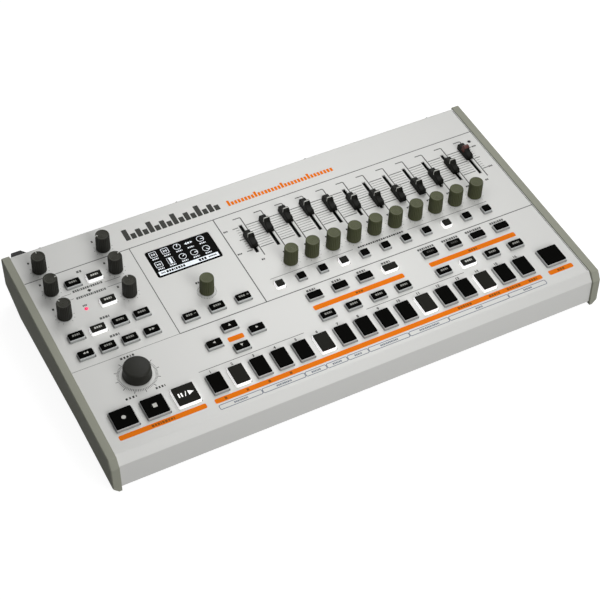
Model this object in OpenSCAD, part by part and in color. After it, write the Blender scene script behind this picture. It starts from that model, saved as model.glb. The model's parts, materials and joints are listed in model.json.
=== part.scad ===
// Desktop drum machine: a sloping steel cover between two moulded side cheeks,
// a steel tray underneath, and the controls on a board hung below the cover.
//
// Frame: millimetres, +X to the player's right, +Y to the rear, +Z up. The origin
// is under the middle of the whole machine, on the plane that the feet stand on.
//
// A control's place is given on the panel: x from the panel's left edge, s up the
// slope from its front edge, and n square to its face, with n = 0 on the surface.

/* [Housing] */
// Overall width over the two side cheeks
body_w = 496; // [494:0.5:520]
// Front-to-rear length of the sloping panel
panel_d = 250; // [244:0.1:270]
// Slope of the panel, in degrees
panel_tilt = 4.1; // [3:0.1:5.5]
// Height of the panel's front edge above the tray's underside
front_h = 35.7; // [32:0.1:42]
// Height of the bevel between the panel and the front face
bevel_drop = 8.6; // [6:0.1:12]
// Depth of the bevel between the panel and the front face
bevel_run = 6.7; // [5:0.1:9]
// Thickness of the cover's steel sheet
cover_t = 1.5; // [1.2:0.1:2]
// Thickness of the tray's steel sheet
tray_t = 1.2; // [1:0.1:1.6]
// Outside radius of the folds in the sheets
fold_r = 2; // [1.8:0.1:3]
// Width of the cover's flange under the front edge
front_flange = 12; // [9:0.5:16]
// Length of the cover's flange down the rear wall
rear_flange = 4.5; // [4:0.5:8]
// Height of the tray's lip behind the front face
front_lip = 16; // [10:0.5:18]
// Gap between neighbouring housing pieces
seam = 0.3; // [0.2:0.05:0.5]

/* [Side cheeks] */
// Thickness of a cheek
cheek_t = 8; // [7.5:0.5:12]
// How far a cheek stands above the panel
cheek_proud = 1; // [0.5:0.1:2]
// How far a cheek reaches in front of the cover
cheek_lead = 2; // [1:0.1:3]
// How far a cheek reaches behind the rear wall
cheek_tail = 0.5; // [0.3:0.1:2]
// How far a cheek reaches below the tray
cheek_drop = 2; // [1:0.1:3]
// Wall of the hollow cheek moulding
cheek_wall = 2.4; // [2:0.1:3]
// Number of ribs inside a cheek
cheek_ribs = 5; // [3:1:7]
// Chamfer on a cheek's outer edges
cheek_edge = 0.8; // [0.4:0.1:1.5]
// Radius of a cheek's corners in the side view
cheek_corner = 0.8; // [0.5:0.1:3]
// Height of the undercut along a cheek's outer lower edge
cheek_hem = 10.5; // [8:0.5:13]
// Depth of the undercut along a cheek's outer lower edge
cheek_under = 5; // [4:0.5:6]
// Diameter of a cheek's screw bosses
boss_d = 7; // [6:0.5:8]
// Diameter of the screws that hold the cheeks
screw_d = 3; // [2.5:0.5:4]

/* [Feet] */
// Diameter of a rubber foot
foot_d = 18; // [14:1:22]
// Height of a rubber foot
foot_h = 4; // [3.5:0.5:9]
// Distance of the feet from the tray's edges
foot_inset = 24; // [20:1:34]

/* [Keys] */
// Width of a step key's black top
key_w = 13.1; // [12:0.1:13.6]
// Depth of a step key's black top
key_d = 20.2; // [18:0.1:21]
// Side of a transport pad's black top
pad_w = 20; // [18:0.1:21]
// Width of a function button's black top
button_w = 13.5; // [12:0.1:14]
// Depth of a function button's black top
button_d = 7.3; // [6.5:0.1:8]
// Side of a voice-select button's black top
select_w = 7.3; // [6.5:0.1:8.5]
// Height of the key tops above the panel
key_h = 3.2; // [2.8:0.1:4]
// Width of the translucent rim round a black top
key_rim = 0.9; // [0.6:0.1:1.1]
// Gap between a key and its window in the cover
key_gap = 0.4; // [0.35:0.05:0.6]
// Width of the retaining flange under a key
key_flange = 1; // [0.8:0.1:1.2]
// How far a step key or pad travels
key_travel = 0.8; // [0.5:0.1:1.2]
// How far a small button travels
button_travel = 0.5; // [0.3:0.1:0.8]
// Wall of a hollow key
key_wall = 1.1; // [0.9:0.1:1.3]
// Side of the square stem under a key
stem_w = 3.2; // [2.8:0.1:3.6]

/* [Knobs] */
// Diameter of a small knob at its base
knob_d = 13.4; // [12:0.1:14]
// Diameter of a small knob at its top
knob_top_d = 12.7; // [11:0.1:12.8]
// Height of a small knob
knob_h = 18.2; // [15:0.1:22]
// Number of grip flutes round a small knob
flutes = 24; // [16:1:28]
// Depth of a grip flute
flute_r = 0.5; // [0.3:0.05:0.6]
// Diameter of the tempo knob at its base
tempo_d = 26.9; // [24:0.1:28]
// Diameter of the tempo knob under its shoulder
tempo_top_d = 24.8; // [22:0.1:26]
// Height of the tempo knob
tempo_h = 12; // [10:0.1:15]
// Radius of the tempo knob's shoulder
tempo_shoulder = 2.2; // [1:0.1:3]
// Gap between a knob and the panel
knob_lift = 0.8; // [0.6:0.1:1.2]
// Diameter of a potentiometer shaft
shaft_d = 6; // [5.8:0.1:6.4]
// Gap all round a turning shaft
shaft_gap = 0.4; // [0.35:0.05:0.6]

/* [Faders] */
// Travel of a fader
fader_travel = 30; // [26:1:32]
// Length of a fader cap
cap_l = 19.8; // [16:0.2:21]
// Width of a fader cap at its foot
cap_w = 7.6; // [6:0.1:8.4]
// Height of a fader cap's ridge above the panel
cap_h = 11.4; // [9:0.1:13]
// Height of a fader cap's wings beside the ridge
wing_h = 7.2; // [6.6:0.1:8]
// Height of a fader cap's wings at their ends
wing_end_h = 6.2; // [4:0.1:6.4]
// Width of a fader cap's ridge, across the slot
ridge_w = 5.6; // [4:0.1:6]
// Thickness of a fader's lever
lever_t = 1.2; // [1:0.1:1.4]
// Width of a fader's lever, along the slot
lever_w = 5; // [4:0.2:6]
// Gap between the lever and the sides of its slot in the cover
slot_gap = 1.1; // [0.8:0.05:1.3]
// Gap between the lever and the sides of its slide track
track_gap = 0.4; // [0.35:0.05:0.6]
// Play beyond each end of the lever's travel
slot_end = 2; // [1:0.1:2.5]

/* [Display] */
// Width of the display glass
glass_w = 66; // [60:0.2:68]
// Depth of the display glass
glass_d = 35; // [30:0.2:37]
// Corner radius of the display glass
glass_r = 2.2; // [1:0.1:4]

/* [Rear] */
// Height of the sockets' axes above the tray's underside
socket_h = 19; // [18:0.5:22]
// Diameter of a jack socket's bore
jack_bore = 6.5; // [6.4:0.1:6.6]
// Diameter of a jack socket's threaded barrel
jack_barrel = 9; // [8.6:0.1:9.4]
// Diameter of a round control-data socket's mouth
din_mouth = 13.4; // [13:0.1:14]
// Distance between the jack sockets
jack_pitch = 34; // [26:1:36]
// How far the cable hook stands out from the rear wall
hook_reach = 10.8; // [9:0.1:16]
// Width of the cable hook at the rear wall
hook_w = 22; // [16:0.5:26]
// Gap in the cable hook for the cable
hook_gap = 5.4; // [4.5:0.1:6]
// Half-angle through which the power switch rocks
rocker_tip = 6; // [4:0.5:8]

/* [Hidden] */

$fn = 48;
hull_fn = 32;
eps = 0.01;

// Colours of the finishes
cover_grey = [0.83, 0.83, 0.81];
tray_grey = [0.55, 0.55, 0.53];
cheek_green = [0.55, 0.56, 0.50];
olive = [0.30, 0.31, 0.21];
black = [0.12, 0.12, 0.11];
key_grey = [0.68, 0.68, 0.66];
board_green = [0.10, 0.30, 0.16];
metal = [0.72, 0.72, 0.74];

// ---- Places of the controls on the panel ----------------------------------
panel_w = body_w - 2 * cheek_t;

// The panel is laid out for 480 by 250, and the places keep their share of its
// width and length when its size changes
function across(x) = x * panel_w / 480;
function along(s) = s * panel_d / 250;
function spot(x, s) = [across(x), along(s)];

// Columns of the left block, and its knob and button rows
column_pitch = across(21.1);
left_x = [for (i = [0:3]) across(19.4) + i * column_pitch];
effect_row = [along(222.5), along(192.6), along(160)];
edit_row = along(132.6);
mode_row = along(109.8);
tempo_at = spot(51, 70.2);
// Lower row: transport pads, step keys and the tap pad
key_row = along(30.8);
key_pitch = across(21.1);
pad_pitch = across(29);
pad_x = across(21.5);
step_x = across(109.5);
tap_x = across(457.2);
// Middle block: display, data knob, menu row and arrow keys
glass_at = spot(147.1, 183);
menu_x = across(147.1);
menu_pitch = across(26.3);
data_row = along(132.2);
menu_row = along(110);
arrow_row = along(71.3);
arrow_rise = along(12.9);
arrow_reach = across(21.1);
// Right block: faders, voice knobs, voice-select and function buttons
voice_x = across(211);
voice_pitch = across(22.36);
voices = 12;
fader_row = along(175.3);
voice_knob_row = along(131.9);
select_row = along(110.1);
function_x = [across(233.5), across(355.9)];
function_pitch = across(26.3);
function_rows = [along(83.9), along(58.1)];
signal_led_at = spot(40.3, 160.3);
accent_led_at = spot(470.1, 199.7);

// Where each fader rests, as millimetres above its lower stop
fader_set = [11.2, 22.8, 26.2, 25.9, 21, 13.4, 7.7, 3.7, 4.1, 8.2, 14.8, 26];
// Where each effect knob's pointer rests, in degrees clockwise from the rear
effect_set = [2, 90, -35, -83, 59, 6];

effect_at = [for (c = [0, 3], s = effect_row) [left_x[c], s]];
voice_knob_at = [for (i = [1:10]) [voice_x + i * voice_pitch, voice_knob_row]];
left_button_at = concat(
    [[left_x[1], effect_row[1]], [left_x[2], effect_row[1]], [left_x[2], effect_row[2]]],
    [for (s = [edit_row, mode_row], x = left_x) [x, s]],
    [for (i = [-1:1]) [menu_x + i * menu_pitch, menu_row]],
    [for (i = [-1, 1]) [menu_x + i * arrow_reach, arrow_row]],
    [for (i = [-1, 1]) [menu_x, arrow_row + i * arrow_rise]]);
right_button_at = [for (x = function_x, s = function_rows, i = [0:3])
    [x + i * function_pitch, s]];
select_at = [for (i = [0:10]) [voice_x + i * voice_pitch, select_row]];
step_at = [for (i = [0:15]) [step_x + i * key_pitch, key_row]];
pad_at = concat([for (i = [0:2]) [pad_x + i * pad_pitch, key_row]], [[tap_x, key_row]]);
knob_at = concat(effect_at, voice_knob_at, [[menu_x, data_row]], [tempo_at]);
fader_at = [for (i = [0:voices - 1]) [voice_x + i * voice_pitch, fader_row]];

// ---- Levels and outlines that the pieces share ------------------------------
cover_w = panel_w - 2 * seam;
panel_rise = panel_d * sin(panel_tilt);
panel_run = panel_d * cos(panel_tilt);
overall_d = cheek_lead + bevel_run + panel_run + hook_reach - cover_t - seam;
front_y = -overall_d / 2 + cheek_lead + bevel_run;
front_z = foot_h + front_h;
rear_y = front_y + panel_run;
rear_z = front_z + panel_rise;
nose_y = front_y - bevel_run;
wall_y = rear_y - cover_t - seam;

// Levels below the panel's face, along its normal
board_n = -12;
board_t = 1.6;
body_n = -5.5;
switch_n = -8;
flange_n = -cover_t - seam;
flange_t = 1.2;
window_lip = 2;

function unit(v) = v / norm(v);
function leftward(v) = [-v[1], v[0]];
function reversed(list) = [for (i = [len(list) - 1:-1:0]) list[i]];

// A path moved sideways by d to its left, with mitred corners
function shifted(path, d) = [for (i = [0:len(path) - 1])
    let (a = unit(path[max(i, 1)] - path[max(i, 1) - 1]),
         b = unit(path[min(i, len(path) - 2) + 1] - path[min(i, len(path) - 2)]))
    path[i] + d * (leftward(a) + leftward(b)) / (1 + a * b)];

// A path with an arc at each inner corner, of radius r_left where it turns left
// and r_right where it turns right
function rounded(path, r_left, r_right, k = 5) = [for (i = [0:len(path) - 1])
    if (i == 0 || i == len(path) - 1) path[i] else
    let (a = unit(path[i] - path[i - 1]), b = unit(path[i + 1] - path[i]),
         side = sign(a[0] * b[1] - a[1] * b[0]), turn = acos(a * b),
         r = side > 0 ? r_left : r_right,
         start = path[i] - a * r * tan(turn / 2), hub = start + side * r * leftward(a))
    each [for (j = [0:k]) let (t = side * turn * j / k)
        hub - side * r * (leftward(a) * cos(t) - a * sin(t))]];

// Outline of a folded sheet: a path and its copy one thickness to the left, with
// r the radius on the outside of every fold
function sheet(path, r, t) = concat(rounded(path, r, r - t),
    reversed(rounded(shifted(path, t), r - t, r)));

// The cover's outside in the side view: up the rear flange, over the panel, down
// the front and back under the machine
cover_path = [[rear_y, rear_z - rear_flange], [rear_y, rear_z], [front_y, front_z],
    [nose_y, front_z - bevel_drop], [nose_y, foot_h], [nose_y + front_flange, foot_h]];

// ---- Helpers ----------------------------------------------------------------
// Places children on the panel, with their own axes along x, s and n
module on_panel(at, n = 0) {
    translate([0, front_y, front_z]) rotate([panel_tilt, 0, 0])
        translate([at[0] - panel_w / 2, at[1], n]) children();
}

// Extrudes a side-view outline along X, centred or from x0
module along_x(w, x0) {
    translate([x0, 0, 0]) rotate([90, 0, 90]) linear_extrude(w) children();
}

// Rectangle with round corners, centred
module plate(w, d, r) {
    hw = w / 2 - r;
    hd = d / 2 - r;
    polygon([for (q = [[1, 1, 0], [-1, 1, 90], [-1, -1, 180], [1, -1, 270]], a = [0:30:90])
        [q[0] * hw + r * cos(a + q[2]), q[1] * hd + r * sin(a + q[2])]]);
}

// Square bar from z0 up to z1, centred on the axis
module bar(w, d, z0, z1) {
    translate([-w / 2, -d / 2, z0]) cube([w, d, z1 - z0]);
}

// Cylinder from z0 up to z1
module rod(dia, z0, z1) {
    translate([0, 0, z0]) cylinder(d = dia, h = z1 - z0);
}

// ---- Housing ----------------------------------------------------------------
// Folded steel cover with every window, slot and hole for the controls
module top_cover() {
    color(cover_grey) {
        difference() {
            along_x(cover_w, -cover_w / 2) polygon(sheet(cover_path, fold_r, cover_t));
            for (at = step_at) key_window(at, key_w, key_d);
            for (at = pad_at) key_window(at, pad_w, pad_w);
            for (at = concat(left_button_at, right_button_at))
                key_window(at, button_w, button_d);
            for (at = select_at) key_window(at, select_w, select_w);
            for (at = knob_at) on_panel(at) rod(shaft_d + 2 * shaft_gap + 0.4, -2 * cover_t, 1);
            for (at = fader_at) on_panel(at) bar(lever_t + 2 * slot_gap, slot_l, -2 * cover_t, 1);
            for (at = [signal_led_at, accent_led_at]) on_panel(at)
                rod(led_d + 2 * seam, -2 * cover_t, 1);
            on_panel(glass_at, -2 * cover_t) linear_extrude(3 * cover_t)
                plate(glass_w, glass_d, glass_r);
            for (x = tray_screw_x) translate([x, tray_screw_y, foot_h - 1])
                cylinder(d = screw_d + 0.4, h = 2 * cover_t);
            for (x = flange_screw_x) on_rear(x, rear_z - rear_flange / 2) rod(screw_d, -1, 2 * cover_t);
        }
        for (at = board_posts) on_panel(at) rod(post_d, board_n, -cover_t + eps);
    }
}

// Window in the cover for one key
module key_window(at, w, d) {
    grow = 2 * (key_rim + key_gap);
    on_panel(at, -2 * cover_t) linear_extrude(3 * cover_t) plate(w + grow, d + grow, key_rim + 0.3);
}

slot_l = fader_travel + lever_w + 2 * slot_end;
led_d = 3;
post_d = 5;
tray_screw_x = [for (i = [-2:2]) i * across(100)];
tray_screw_y = nose_y + front_flange / 2 + 2;
flange_screw_x = [for (i = [-1.5:1.5]) i * across(140)];
board_posts = [spot(30, 205), spot(118, 222), spot(194, 222), spot(331, 222), spot(466, 222),
    spot(30, 90), spot(113, 145), spot(191, 145), spot(209, 62), spot(336, 96), spot(466, 62)];

// The tray's outside in the side view: down the front lip, along the floor, which
// steps down behind the cover's flange, and up the rear wall
tray_w = cover_w;
lip_y = nose_y + cover_t + seam;
floor_z = foot_h + cover_t + seam;
step_y = nose_y + front_flange + 1;
wall_top = rear_z - cover_t - 2 * seam;
tray_path = [[lip_y, floor_z + front_lip], [lip_y, floor_z], [step_y, floor_z],
    [step_y + 3, foot_h], [wall_y, foot_h], [wall_y, wall_top]];
// The lower side of the cover, which the tray's side walls follow
under_cover = shifted(cover_path, cover_t + seam);

// Folded steel tray: floor, front lip, rear wall with its holes, and side walls
module bottom_tray() {
    color(tray_grey) {
        difference() {
            union() {
                along_x(tray_w, -tray_w / 2) polygon(sheet(tray_path, fold_r, tray_t));
                for (side = [-1, 1]) along_x(tray_t, side * (tray_w - tray_t) / 2 - tray_t / 2)
                    polygon(concat([for (i = [2:4]) tray_path[i]], [[wall_y, wall_top]],
                        [under_cover[2], under_cover[3], [lip_y, floor_z]]));
            }
            for (at = cheek_bosses, side = [-1, 1])
                translate([side * (tray_w / 2 - tray_t - 1), at[0], at[1]]) rotate([0, side * 90, 0])
                    cylinder(d = screw_d + 0.5, h = tray_t + 2);
            rear_holes();
            for (x = flange_screw_x) on_rear(x, rear_z - rear_flange / 2)
                rod(screw_d - 0.5, -2 * tray_t, 1);
            for (x = tray_screw_x) translate([x, tray_screw_y, foot_h])
                cylinder(d = screw_d - 0.5, h = cover_t + 2 * tray_t);
            for (x = vent_x) translate([x, vent_y, foot_h - 1]) cube([vent_w, vent_l, tray_t + 2]);
        }
        for (at = rear_posts) translate([at[0], at[1], foot_h + tray_t - eps])
            cylinder(d = post_d, h = rear_board_z - foot_h - tray_t + eps);
    }
}

vent_w = 3;
vent_l = 34;
vent_y = wall_y - along(112);
vent_x = [for (g = [across(-150), across(90)], i = [0:7]) g + i * (vent_w + 5)];

// How the bevel's two corners move so that a cheek's bevel stands proud too
cheek_edge_run = cheek_lead * 1.7;
cheek_bevel_lift = cheek_lead * 0.3;

// Side view of a cheek: it follows the cover, standing proud of it all round, and
// its top keeps the panel's slope
cheek_front = nose_y - cheek_lead;
cheek_path = [[cheek_front, foot_h - cheek_drop],
    [rear_y + cheek_tail, foot_h - cheek_drop],
    [rear_y + cheek_tail, rear_z + (cheek_proud + cheek_tail * sin(panel_tilt)) / cos(panel_tilt)],
    [front_y - cheek_edge_run, front_z + (cheek_proud - cheek_edge_run * sin(panel_tilt)) / cos(panel_tilt)],
    [cheek_front, front_z - bevel_drop + cheek_bevel_lift],
    [cheek_front, foot_h - cheek_drop]];

// The outer lower edge of a cheek, from its rear end to its front; the undercut
// falls from there to the inner lower edge
cheek_base = foot_h - cheek_drop;
hem_path = [[rear_y + cheek_tail + 3, cheek_base + 2.5 * cheek_hem], [rear_y - 36, cheek_base + cheek_hem],
    [front_y + 0.3 * panel_run, cheek_base + cheek_hem], [cheek_front - 3, cheek_base + cheek_hem / 2]];
boss_inset = 17;
cheek_bosses = [[nose_y + boss_inset, foot_h + boss_inset],
    [front_y + panel_run / 2, foot_h + boss_inset], [rear_y - boss_inset, foot_h + boss_inset],
    [rear_y - boss_inset, rear_z - boss_inset + 3], [front_y + panel_run / 2, front_z]];

// One cheek, lying on its outer face: a hollow moulding with ribs and screw bosses
module cheek() {
    outline = rounded(cheek_path, cheek_corner, cheek_corner);
    difference() {
        hull() {
            linear_extrude(eps) offset(delta = -cheek_edge) polygon(outline);
            translate([0, 0, cheek_edge]) linear_extrude(cheek_t - cheek_edge) polygon(outline);
        }
        for (i = [0:2]) undercut(hem_path[i], hem_path[i + 1]);
        translate([0, 0, cheek_wall]) linear_extrude(cheek_t) difference() {
            offset(delta = -cheek_wall) polygon(outline);
            polygon(concat(hem_path, [[cheek_front - 3, -1], [rear_y + cheek_tail + 3, -1]]));
            for (i = [1:cheek_ribs])
                translate([front_y + i * panel_run / (cheek_ribs + 1) - rib_t / 2, 0])
                    square([rib_t, rear_z + cheek_proud]);
            for (at = cheek_bosses) translate(at) circle(d = boss_d);
        }
        for (at = cheek_bosses) translate([at[0], at[1], cheek_wall])
            cylinder(d = screw_d - 0.5, h = cheek_t);
    }
}

rib_t = 1.6;

// Cutter for one stretch of the undercut, between two points of the hem
module undercut(a, b) {
    hull() {
        translate([0, 0, -1]) linear_extrude(1) polygon([[a[0], -1], a, b, [b[0], -1]]);
        translate([0, 0, cheek_under]) linear_extrude(eps)
            polygon([[a[0], -1], [a[0], cheek_base], [b[0], cheek_base], [b[0], -1]]);
    }
}

module left_cheek() {
    color(cheek_green) translate([-body_w / 2, 0, 0]) rotate([90, 0, 90]) cheek();
}

module right_cheek() {
    color(cheek_green) mirror([1, 0, 0]) translate([-body_w / 2, 0, 0]) rotate([90, 0, 90]) cheek();
}

// Four rubber feet, each a turned form with a recessed screw seat
module feet() {
    x = tray_w / 2 - foot_inset;
    color(black) for (side = [-1, 1], y = [lip_y + foot_inset, rear_y - foot_inset])
        translate([side * x, y, 0]) rotate_extrude() polygon([
            [screw_d / 2, 2.5], [screw_d, 2.5], [screw_d, 0], [foot_d / 2 - 1.4, 0],
            [foot_d / 2 - 0.6, 0.8], [foot_d / 2, foot_h], [screw_d / 2, foot_h]]);
}

// Glass over the display, with a lip glued under the cover
module display_window() {
    color(black) on_panel(glass_at) {
        translate([0, 0, -cover_t]) linear_extrude(cover_t + 0.2)
            plate(glass_w - 2 * seam, glass_d - 2 * seam, glass_r - seam);
        translate([0, 0, -cover_t - 1]) linear_extrude(1)
            plate(glass_w + 2 * window_lip, glass_d + 2 * window_lip, glass_r);
    }
}

// ---- Boards inside ----------------------------------------------------------
// Control board with its potentiometers, slide tracks, key switches and display
module control_board() {
    color(board_green) on_panel([board_side, board_front], board_n - board_t)
        cube([panel_w - 2 * board_side, panel_d - board_front - board_rear, board_t]);
    color(metal) for (at = knob_at) on_panel(at) potentiometer();
    color(metal) for (at = fader_at) on_panel(at) slide_track();
    color(black) for (at = concat(step_at, pad_at)) on_panel(at) key_switch(key_travel);
    color(black) for (at = concat(left_button_at, right_button_at, select_at))
        on_panel(at) key_switch(button_travel);
    color(black) on_panel(glass_at) bar(glass_w - 3, glass_d - 3, board_n, -cover_t - 1);
    color("firebrick") on_panel(signal_led_at) lamp();
    color(black) on_panel(accent_led_at) lamp();
}

board_side = 5;
board_front = 6;
board_rear = 15.6;

// Lamp with a domed top that looks out through its hole in the cover
module lamp() {
    rotate_extrude() polygon(concat([[0, board_n], [led_d / 2 + 0.5, board_n],
        [led_d / 2 + 0.5, board_n + 1], [led_d / 2, board_n + 1]],
        [for (a = [0:15:90]) [led_d / 2 * cos(a), 0.1 + 0.8 * sin(a)]]));
}

// Potentiometer body and bushing, bored for the knob's shaft
module potentiometer() {
    difference() {
        union() {
            bar(pot_w, pot_l, board_n, body_n);
            rod(shaft_d + 3, body_n, -cover_t - seam);
        }
        rod(shaft_d + 2 * shaft_gap, shaft_n - 0.6, 0);
    }
}

shaft_n = board_n + 1.4;
pot_w = 9.8;
pot_l = 11;

// Slide track: a long can with the lever's slot in its top
module slide_track() {
    difference() {
        bar(can_w, slot_l + can_w, board_n, body_n);
        bar(lever_t + 2 * track_gap, slot_l, lever_n - 1, 0);
    }
}

lever_n = body_n - 3.5;
can_w = 9;

// Key switch: a square housing that guides the key's stem
module key_switch(travel) {
    difference() {
        bar(2 * stem_w, 2 * stem_w, board_n, switch_n);
        bar(stem_w + 2 * stem_gap, stem_w + 2 * stem_gap, stem_n - travel - 0.4, 0);
    }
}

stem_gap = 0.35;
stem_n = switch_n - 1.6;

// ---- Keys ---------------------------------------------------------------------
// Hollow translucent key with a raised black top, a flange and a stem
module key(w, d) {
    rim_n = key_h - 0.5;
    color(black) translate([0, 0, rim_n - eps]) linear_extrude(key_h - rim_n + eps) plate(w, d, 0.5);
    color(key_grey) {
        difference() {
            union() {
                translate([0, 0, flange_n - flange_t]) linear_extrude(rim_n - flange_n + flange_t)
                    plate(w + 2 * key_rim, d + 2 * key_rim, key_rim);
                translate([0, 0, flange_n - flange_t]) linear_extrude(flange_t)
                    plate(w + 2 * (key_rim + key_gap + key_flange), d + 2 * (key_rim + key_gap + key_flange), key_rim);
            }
            translate([0, 0, flange_n - flange_t - 1]) linear_extrude(rim_n - key_wall - flange_n + flange_t + 1)
                plate(w + 2 * (key_rim - key_wall), d + 2 * (key_rim - key_wall), key_rim / 2);
        }
        bar(stem_w, stem_w, stem_n, rim_n - key_wall / 2);
    }
}

module step_key(i) {
    on_panel(step_at[i]) key(key_w, key_d);
}

module transport_pads() {
    for (at = pad_at) on_panel(at) key(pad_w, pad_w);
}

module select_buttons() {
    for (at = select_at) on_panel(at) key(select_w, select_w);
}

module left_buttons() {
    for (at = left_button_at) on_panel(at) key(button_w, button_d);
}

module right_buttons() {
    for (at = right_button_at) on_panel(at) key(button_w, button_d);
}

// ---- Knobs --------------------------------------------------------------------
// Turned knob body with a hollow underside, on its shaft
module knob_body(profile, base_d, h) {
    wall = 1.6;
    difference() {
        translate([0, 0, knob_lift]) rotate_extrude() polygon(profile);
        difference() {
            rod(base_d - 2 * wall - 1, knob_lift - 1, knob_lift + h * 0.55);
            rod(shaft_d + 2.4, knob_lift - 2, knob_lift + h);
        }
    }
    rod(shaft_d, shaft_n, knob_lift + h / 2);
}

// Small fluted knob, with its pointer turned to the given clockwise angle
module small_knob(turn, pointer) {
    foot = knob_d / 2;
    top = knob_top_d / 2;
    rotate([0, 0, -turn]) difference() {
        knob_body([[0, 0], [foot, 0], [foot, 1.2], [top, knob_h - 0.7], [top - 0.5, knob_h],
            [top - 1.3, knob_h], [top - 1.7, knob_h - 0.3], [0, knob_h - 0.3]], knob_d, knob_h);
        for (i = [0:flutes - 1]) rotate([0, 0, (i + 0.5) * 360 / flutes])
            translate([foot + 0.12, 0, knob_lift + 1.6]) rotate([0, -atan((foot - top) / knob_h), 0])
                cylinder(r = flute_r, h = knob_h, $fn = 16);
        if (pointer) translate([-0.45, top - 2.6, knob_lift + knob_h - 0.5])
            cube([0.9, 4, 2]);
    }
}

// Large smooth tempo knob with a round shoulder and a shallow dish in its top
module tempo_knob() {
    foot = tempo_d / 2;
    edge = tempo_top_d / 2;
    shoulder = [for (a = [0:15:90]) [edge - tempo_shoulder * (1 - cos(a)),
        tempo_h - tempo_shoulder * (1 - sin(a))]];
    dish = [for (k = [0:4]) [(edge - tempo_shoulder - 1) * (1 - k / 4), tempo_h - 0.6 * sin(k * 22.5)]];
    color(black) on_panel(tempo_at)
        knob_body(concat([[0, 0], [foot - 0.4, 0], [foot, 0.4], [foot, 1.6]], shoulder, dish), tempo_d, tempo_h);
}

module effect_knob(i) {
    color(black) on_panel(effect_at[i]) small_knob(effect_set[i], true);
}

module voice_knob(i) {
    color(olive) on_panel(voice_knob_at[i]) small_knob(0, false);
}

module data_knob() {
    color(olive) on_panel([menu_x, data_row]) small_knob(0, false);
}

// ---- Faders -------------------------------------------------------------------
// Fader cap: a long foot with a saddle on each side of a tall ridge, on a lever
module fader(i) {
    at = fader_at[i] + [0, fader_set[i] - fader_travel / 2];
    color(black) on_panel(at) {
        intersection() {
            rotate([90, 0, 90]) translate([0, 0, -cap_w]) linear_extrude(2 * cap_w)
                polygon(cap_side());
            rotate([90, 0, 0]) translate([0, 0, -cap_l]) linear_extrude(2 * cap_l)
                polygon([[-cap_w / 2, cap_foot], [cap_w / 2, cap_foot], [wing_w / 2, wing_end_h],
                    [ridge_w / 2, cap_h], [-ridge_w / 2, cap_h], [-wing_w / 2, wing_end_h]]);
            translate([0, 0, cap_foot]) linear_extrude(cap_h)
                plate(cap_w, cap_l, 1.2);
        }
        bar(lever_t, lever_w, lever_n, cap_foot + 1);
    }
}

cap_foot = 0.7;

wing_w = ridge_w + 0.3 * (cap_w - ridge_w);

// Side view of a cap: beside the ridge each flank falls along half a cosine to a
// wing, which slopes gently to its rounded end
function cap_side() = let (
    half = cap_l / 2, crest = 1.3, dip = 4.2,
    flank = [for (k = [0:6]) [crest + (dip - crest) * k / 6,
        wing_h + (cap_h - wing_h) * (1 + cos(180 * pow(k / 6, 0.8))) / 2]],
    right = concat(flank, [[half - 1.2, wing_end_h + 0.2], [half - 0.3, wing_end_h - 0.5],
        [half, wing_end_h - 1.6]]))
    concat([[-half, cap_foot], [half, cap_foot]], reversed(right), [for (p = right) [-p[0], p[1]]]);

// ---- Rear ---------------------------------------------------------------------
rear_board_z = foot_h + tray_t + 5;
socket_z = foot_h + socket_h;
socket_drop = socket_z - rear_board_z - board_t;
power_x = across(-200);
dc_x = across(-172);
usb_x = across(-142);
din_x = [for (i = [0:2]) across(-106 + 30 * i)];
jack_x = [for (i = [0:5]) across(16) + i * jack_pitch];
rear_board_d = 56;
rear_board_in = 12;
rear_posts = [for (i = [-2:2], y = [post_d + 1, rear_board_d - post_d - 1])
    [i * (panel_w / 4 - rear_board_in / 2 - post_d / 2), wall_y - tray_t - y]];
dc_d = 8;
usb_w = 12;
usb_h = 11;
din_rim = 1;
jack_out = 4;
nut_t = 2.2;
rocker_w = 9;
rocker_r = 7.4;
pin_gap = 0.3;
bezel_gap = 0.5;
pivot_n = -4;

// Places children on the rear wall's outside, with their z axis to the rear
module on_rear(x, z = socket_z) {
    translate([x, wall_y, z]) rotate([-90, 0, 0]) children();
}

// Holes in the tray's rear wall
module rear_holes() {
    for (x = jack_x) on_rear(x) rod(jack_barrel + 2 * seam, -2 * tray_t, 1);
    for (x = din_x) on_rear(x) rod(din_mouth + 2 * (din_rim + seam), -2 * tray_t, 1);
    on_rear(dc_x) rod(dc_d + 2 * seam, -2 * tray_t, 1);
    on_rear(usb_x) bar(usb_w + 2 * seam, usb_h + 2 * seam, -2 * tray_t, 1);
    on_rear(power_x) bar(rocker_w + 4 + 2 * seam, 2 * rocker_r + 4 + 2 * seam, -2 * tray_t, 1);
}

// Rear board on its posts, with the sockets and the power switch's housing
module rear_board() {
    color(board_green) translate([-panel_w / 2 + rear_board_in, wall_y - tray_t - rear_board_d, rear_board_z])
        cube([panel_w - 2 * rear_board_in, rear_board_d - seam, board_t]);
    color(black) for (x = jack_x) on_rear(x) jack_socket();
    color(black) for (x = din_x) on_rear(x) din_socket();
    color(black) on_rear(dc_x) dc_socket();
    color(metal) on_rear(usb_x) usb_socket();
    color(black) on_rear(power_x) switch_housing();
}

// A socket's block, standing on the rear board, with its face behind the wall
module socket_block(w, above, deep) {
    translate([-w / 2, -above, -tray_t - deep]) cube([w, above + socket_drop, deep - 0.2]);
}

// Jack socket: a bored block with a threaded barrel and its hexagonal nut
module jack_socket() {
    difference() {
        union() {
            socket_block(15, 8, 24);
            rod(jack_barrel, -tray_t - 1, jack_out);
            cylinder(d = jack_barrel + 4.4, h = nut_t, $fn = 6);
        }
        rod(jack_bore, -22, jack_out + 1);
        translate([0, 0, jack_out - 0.5]) cylinder(d1 = jack_bore, d2 = jack_bore + 1.2, h = 0.6);
    }
}

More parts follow.
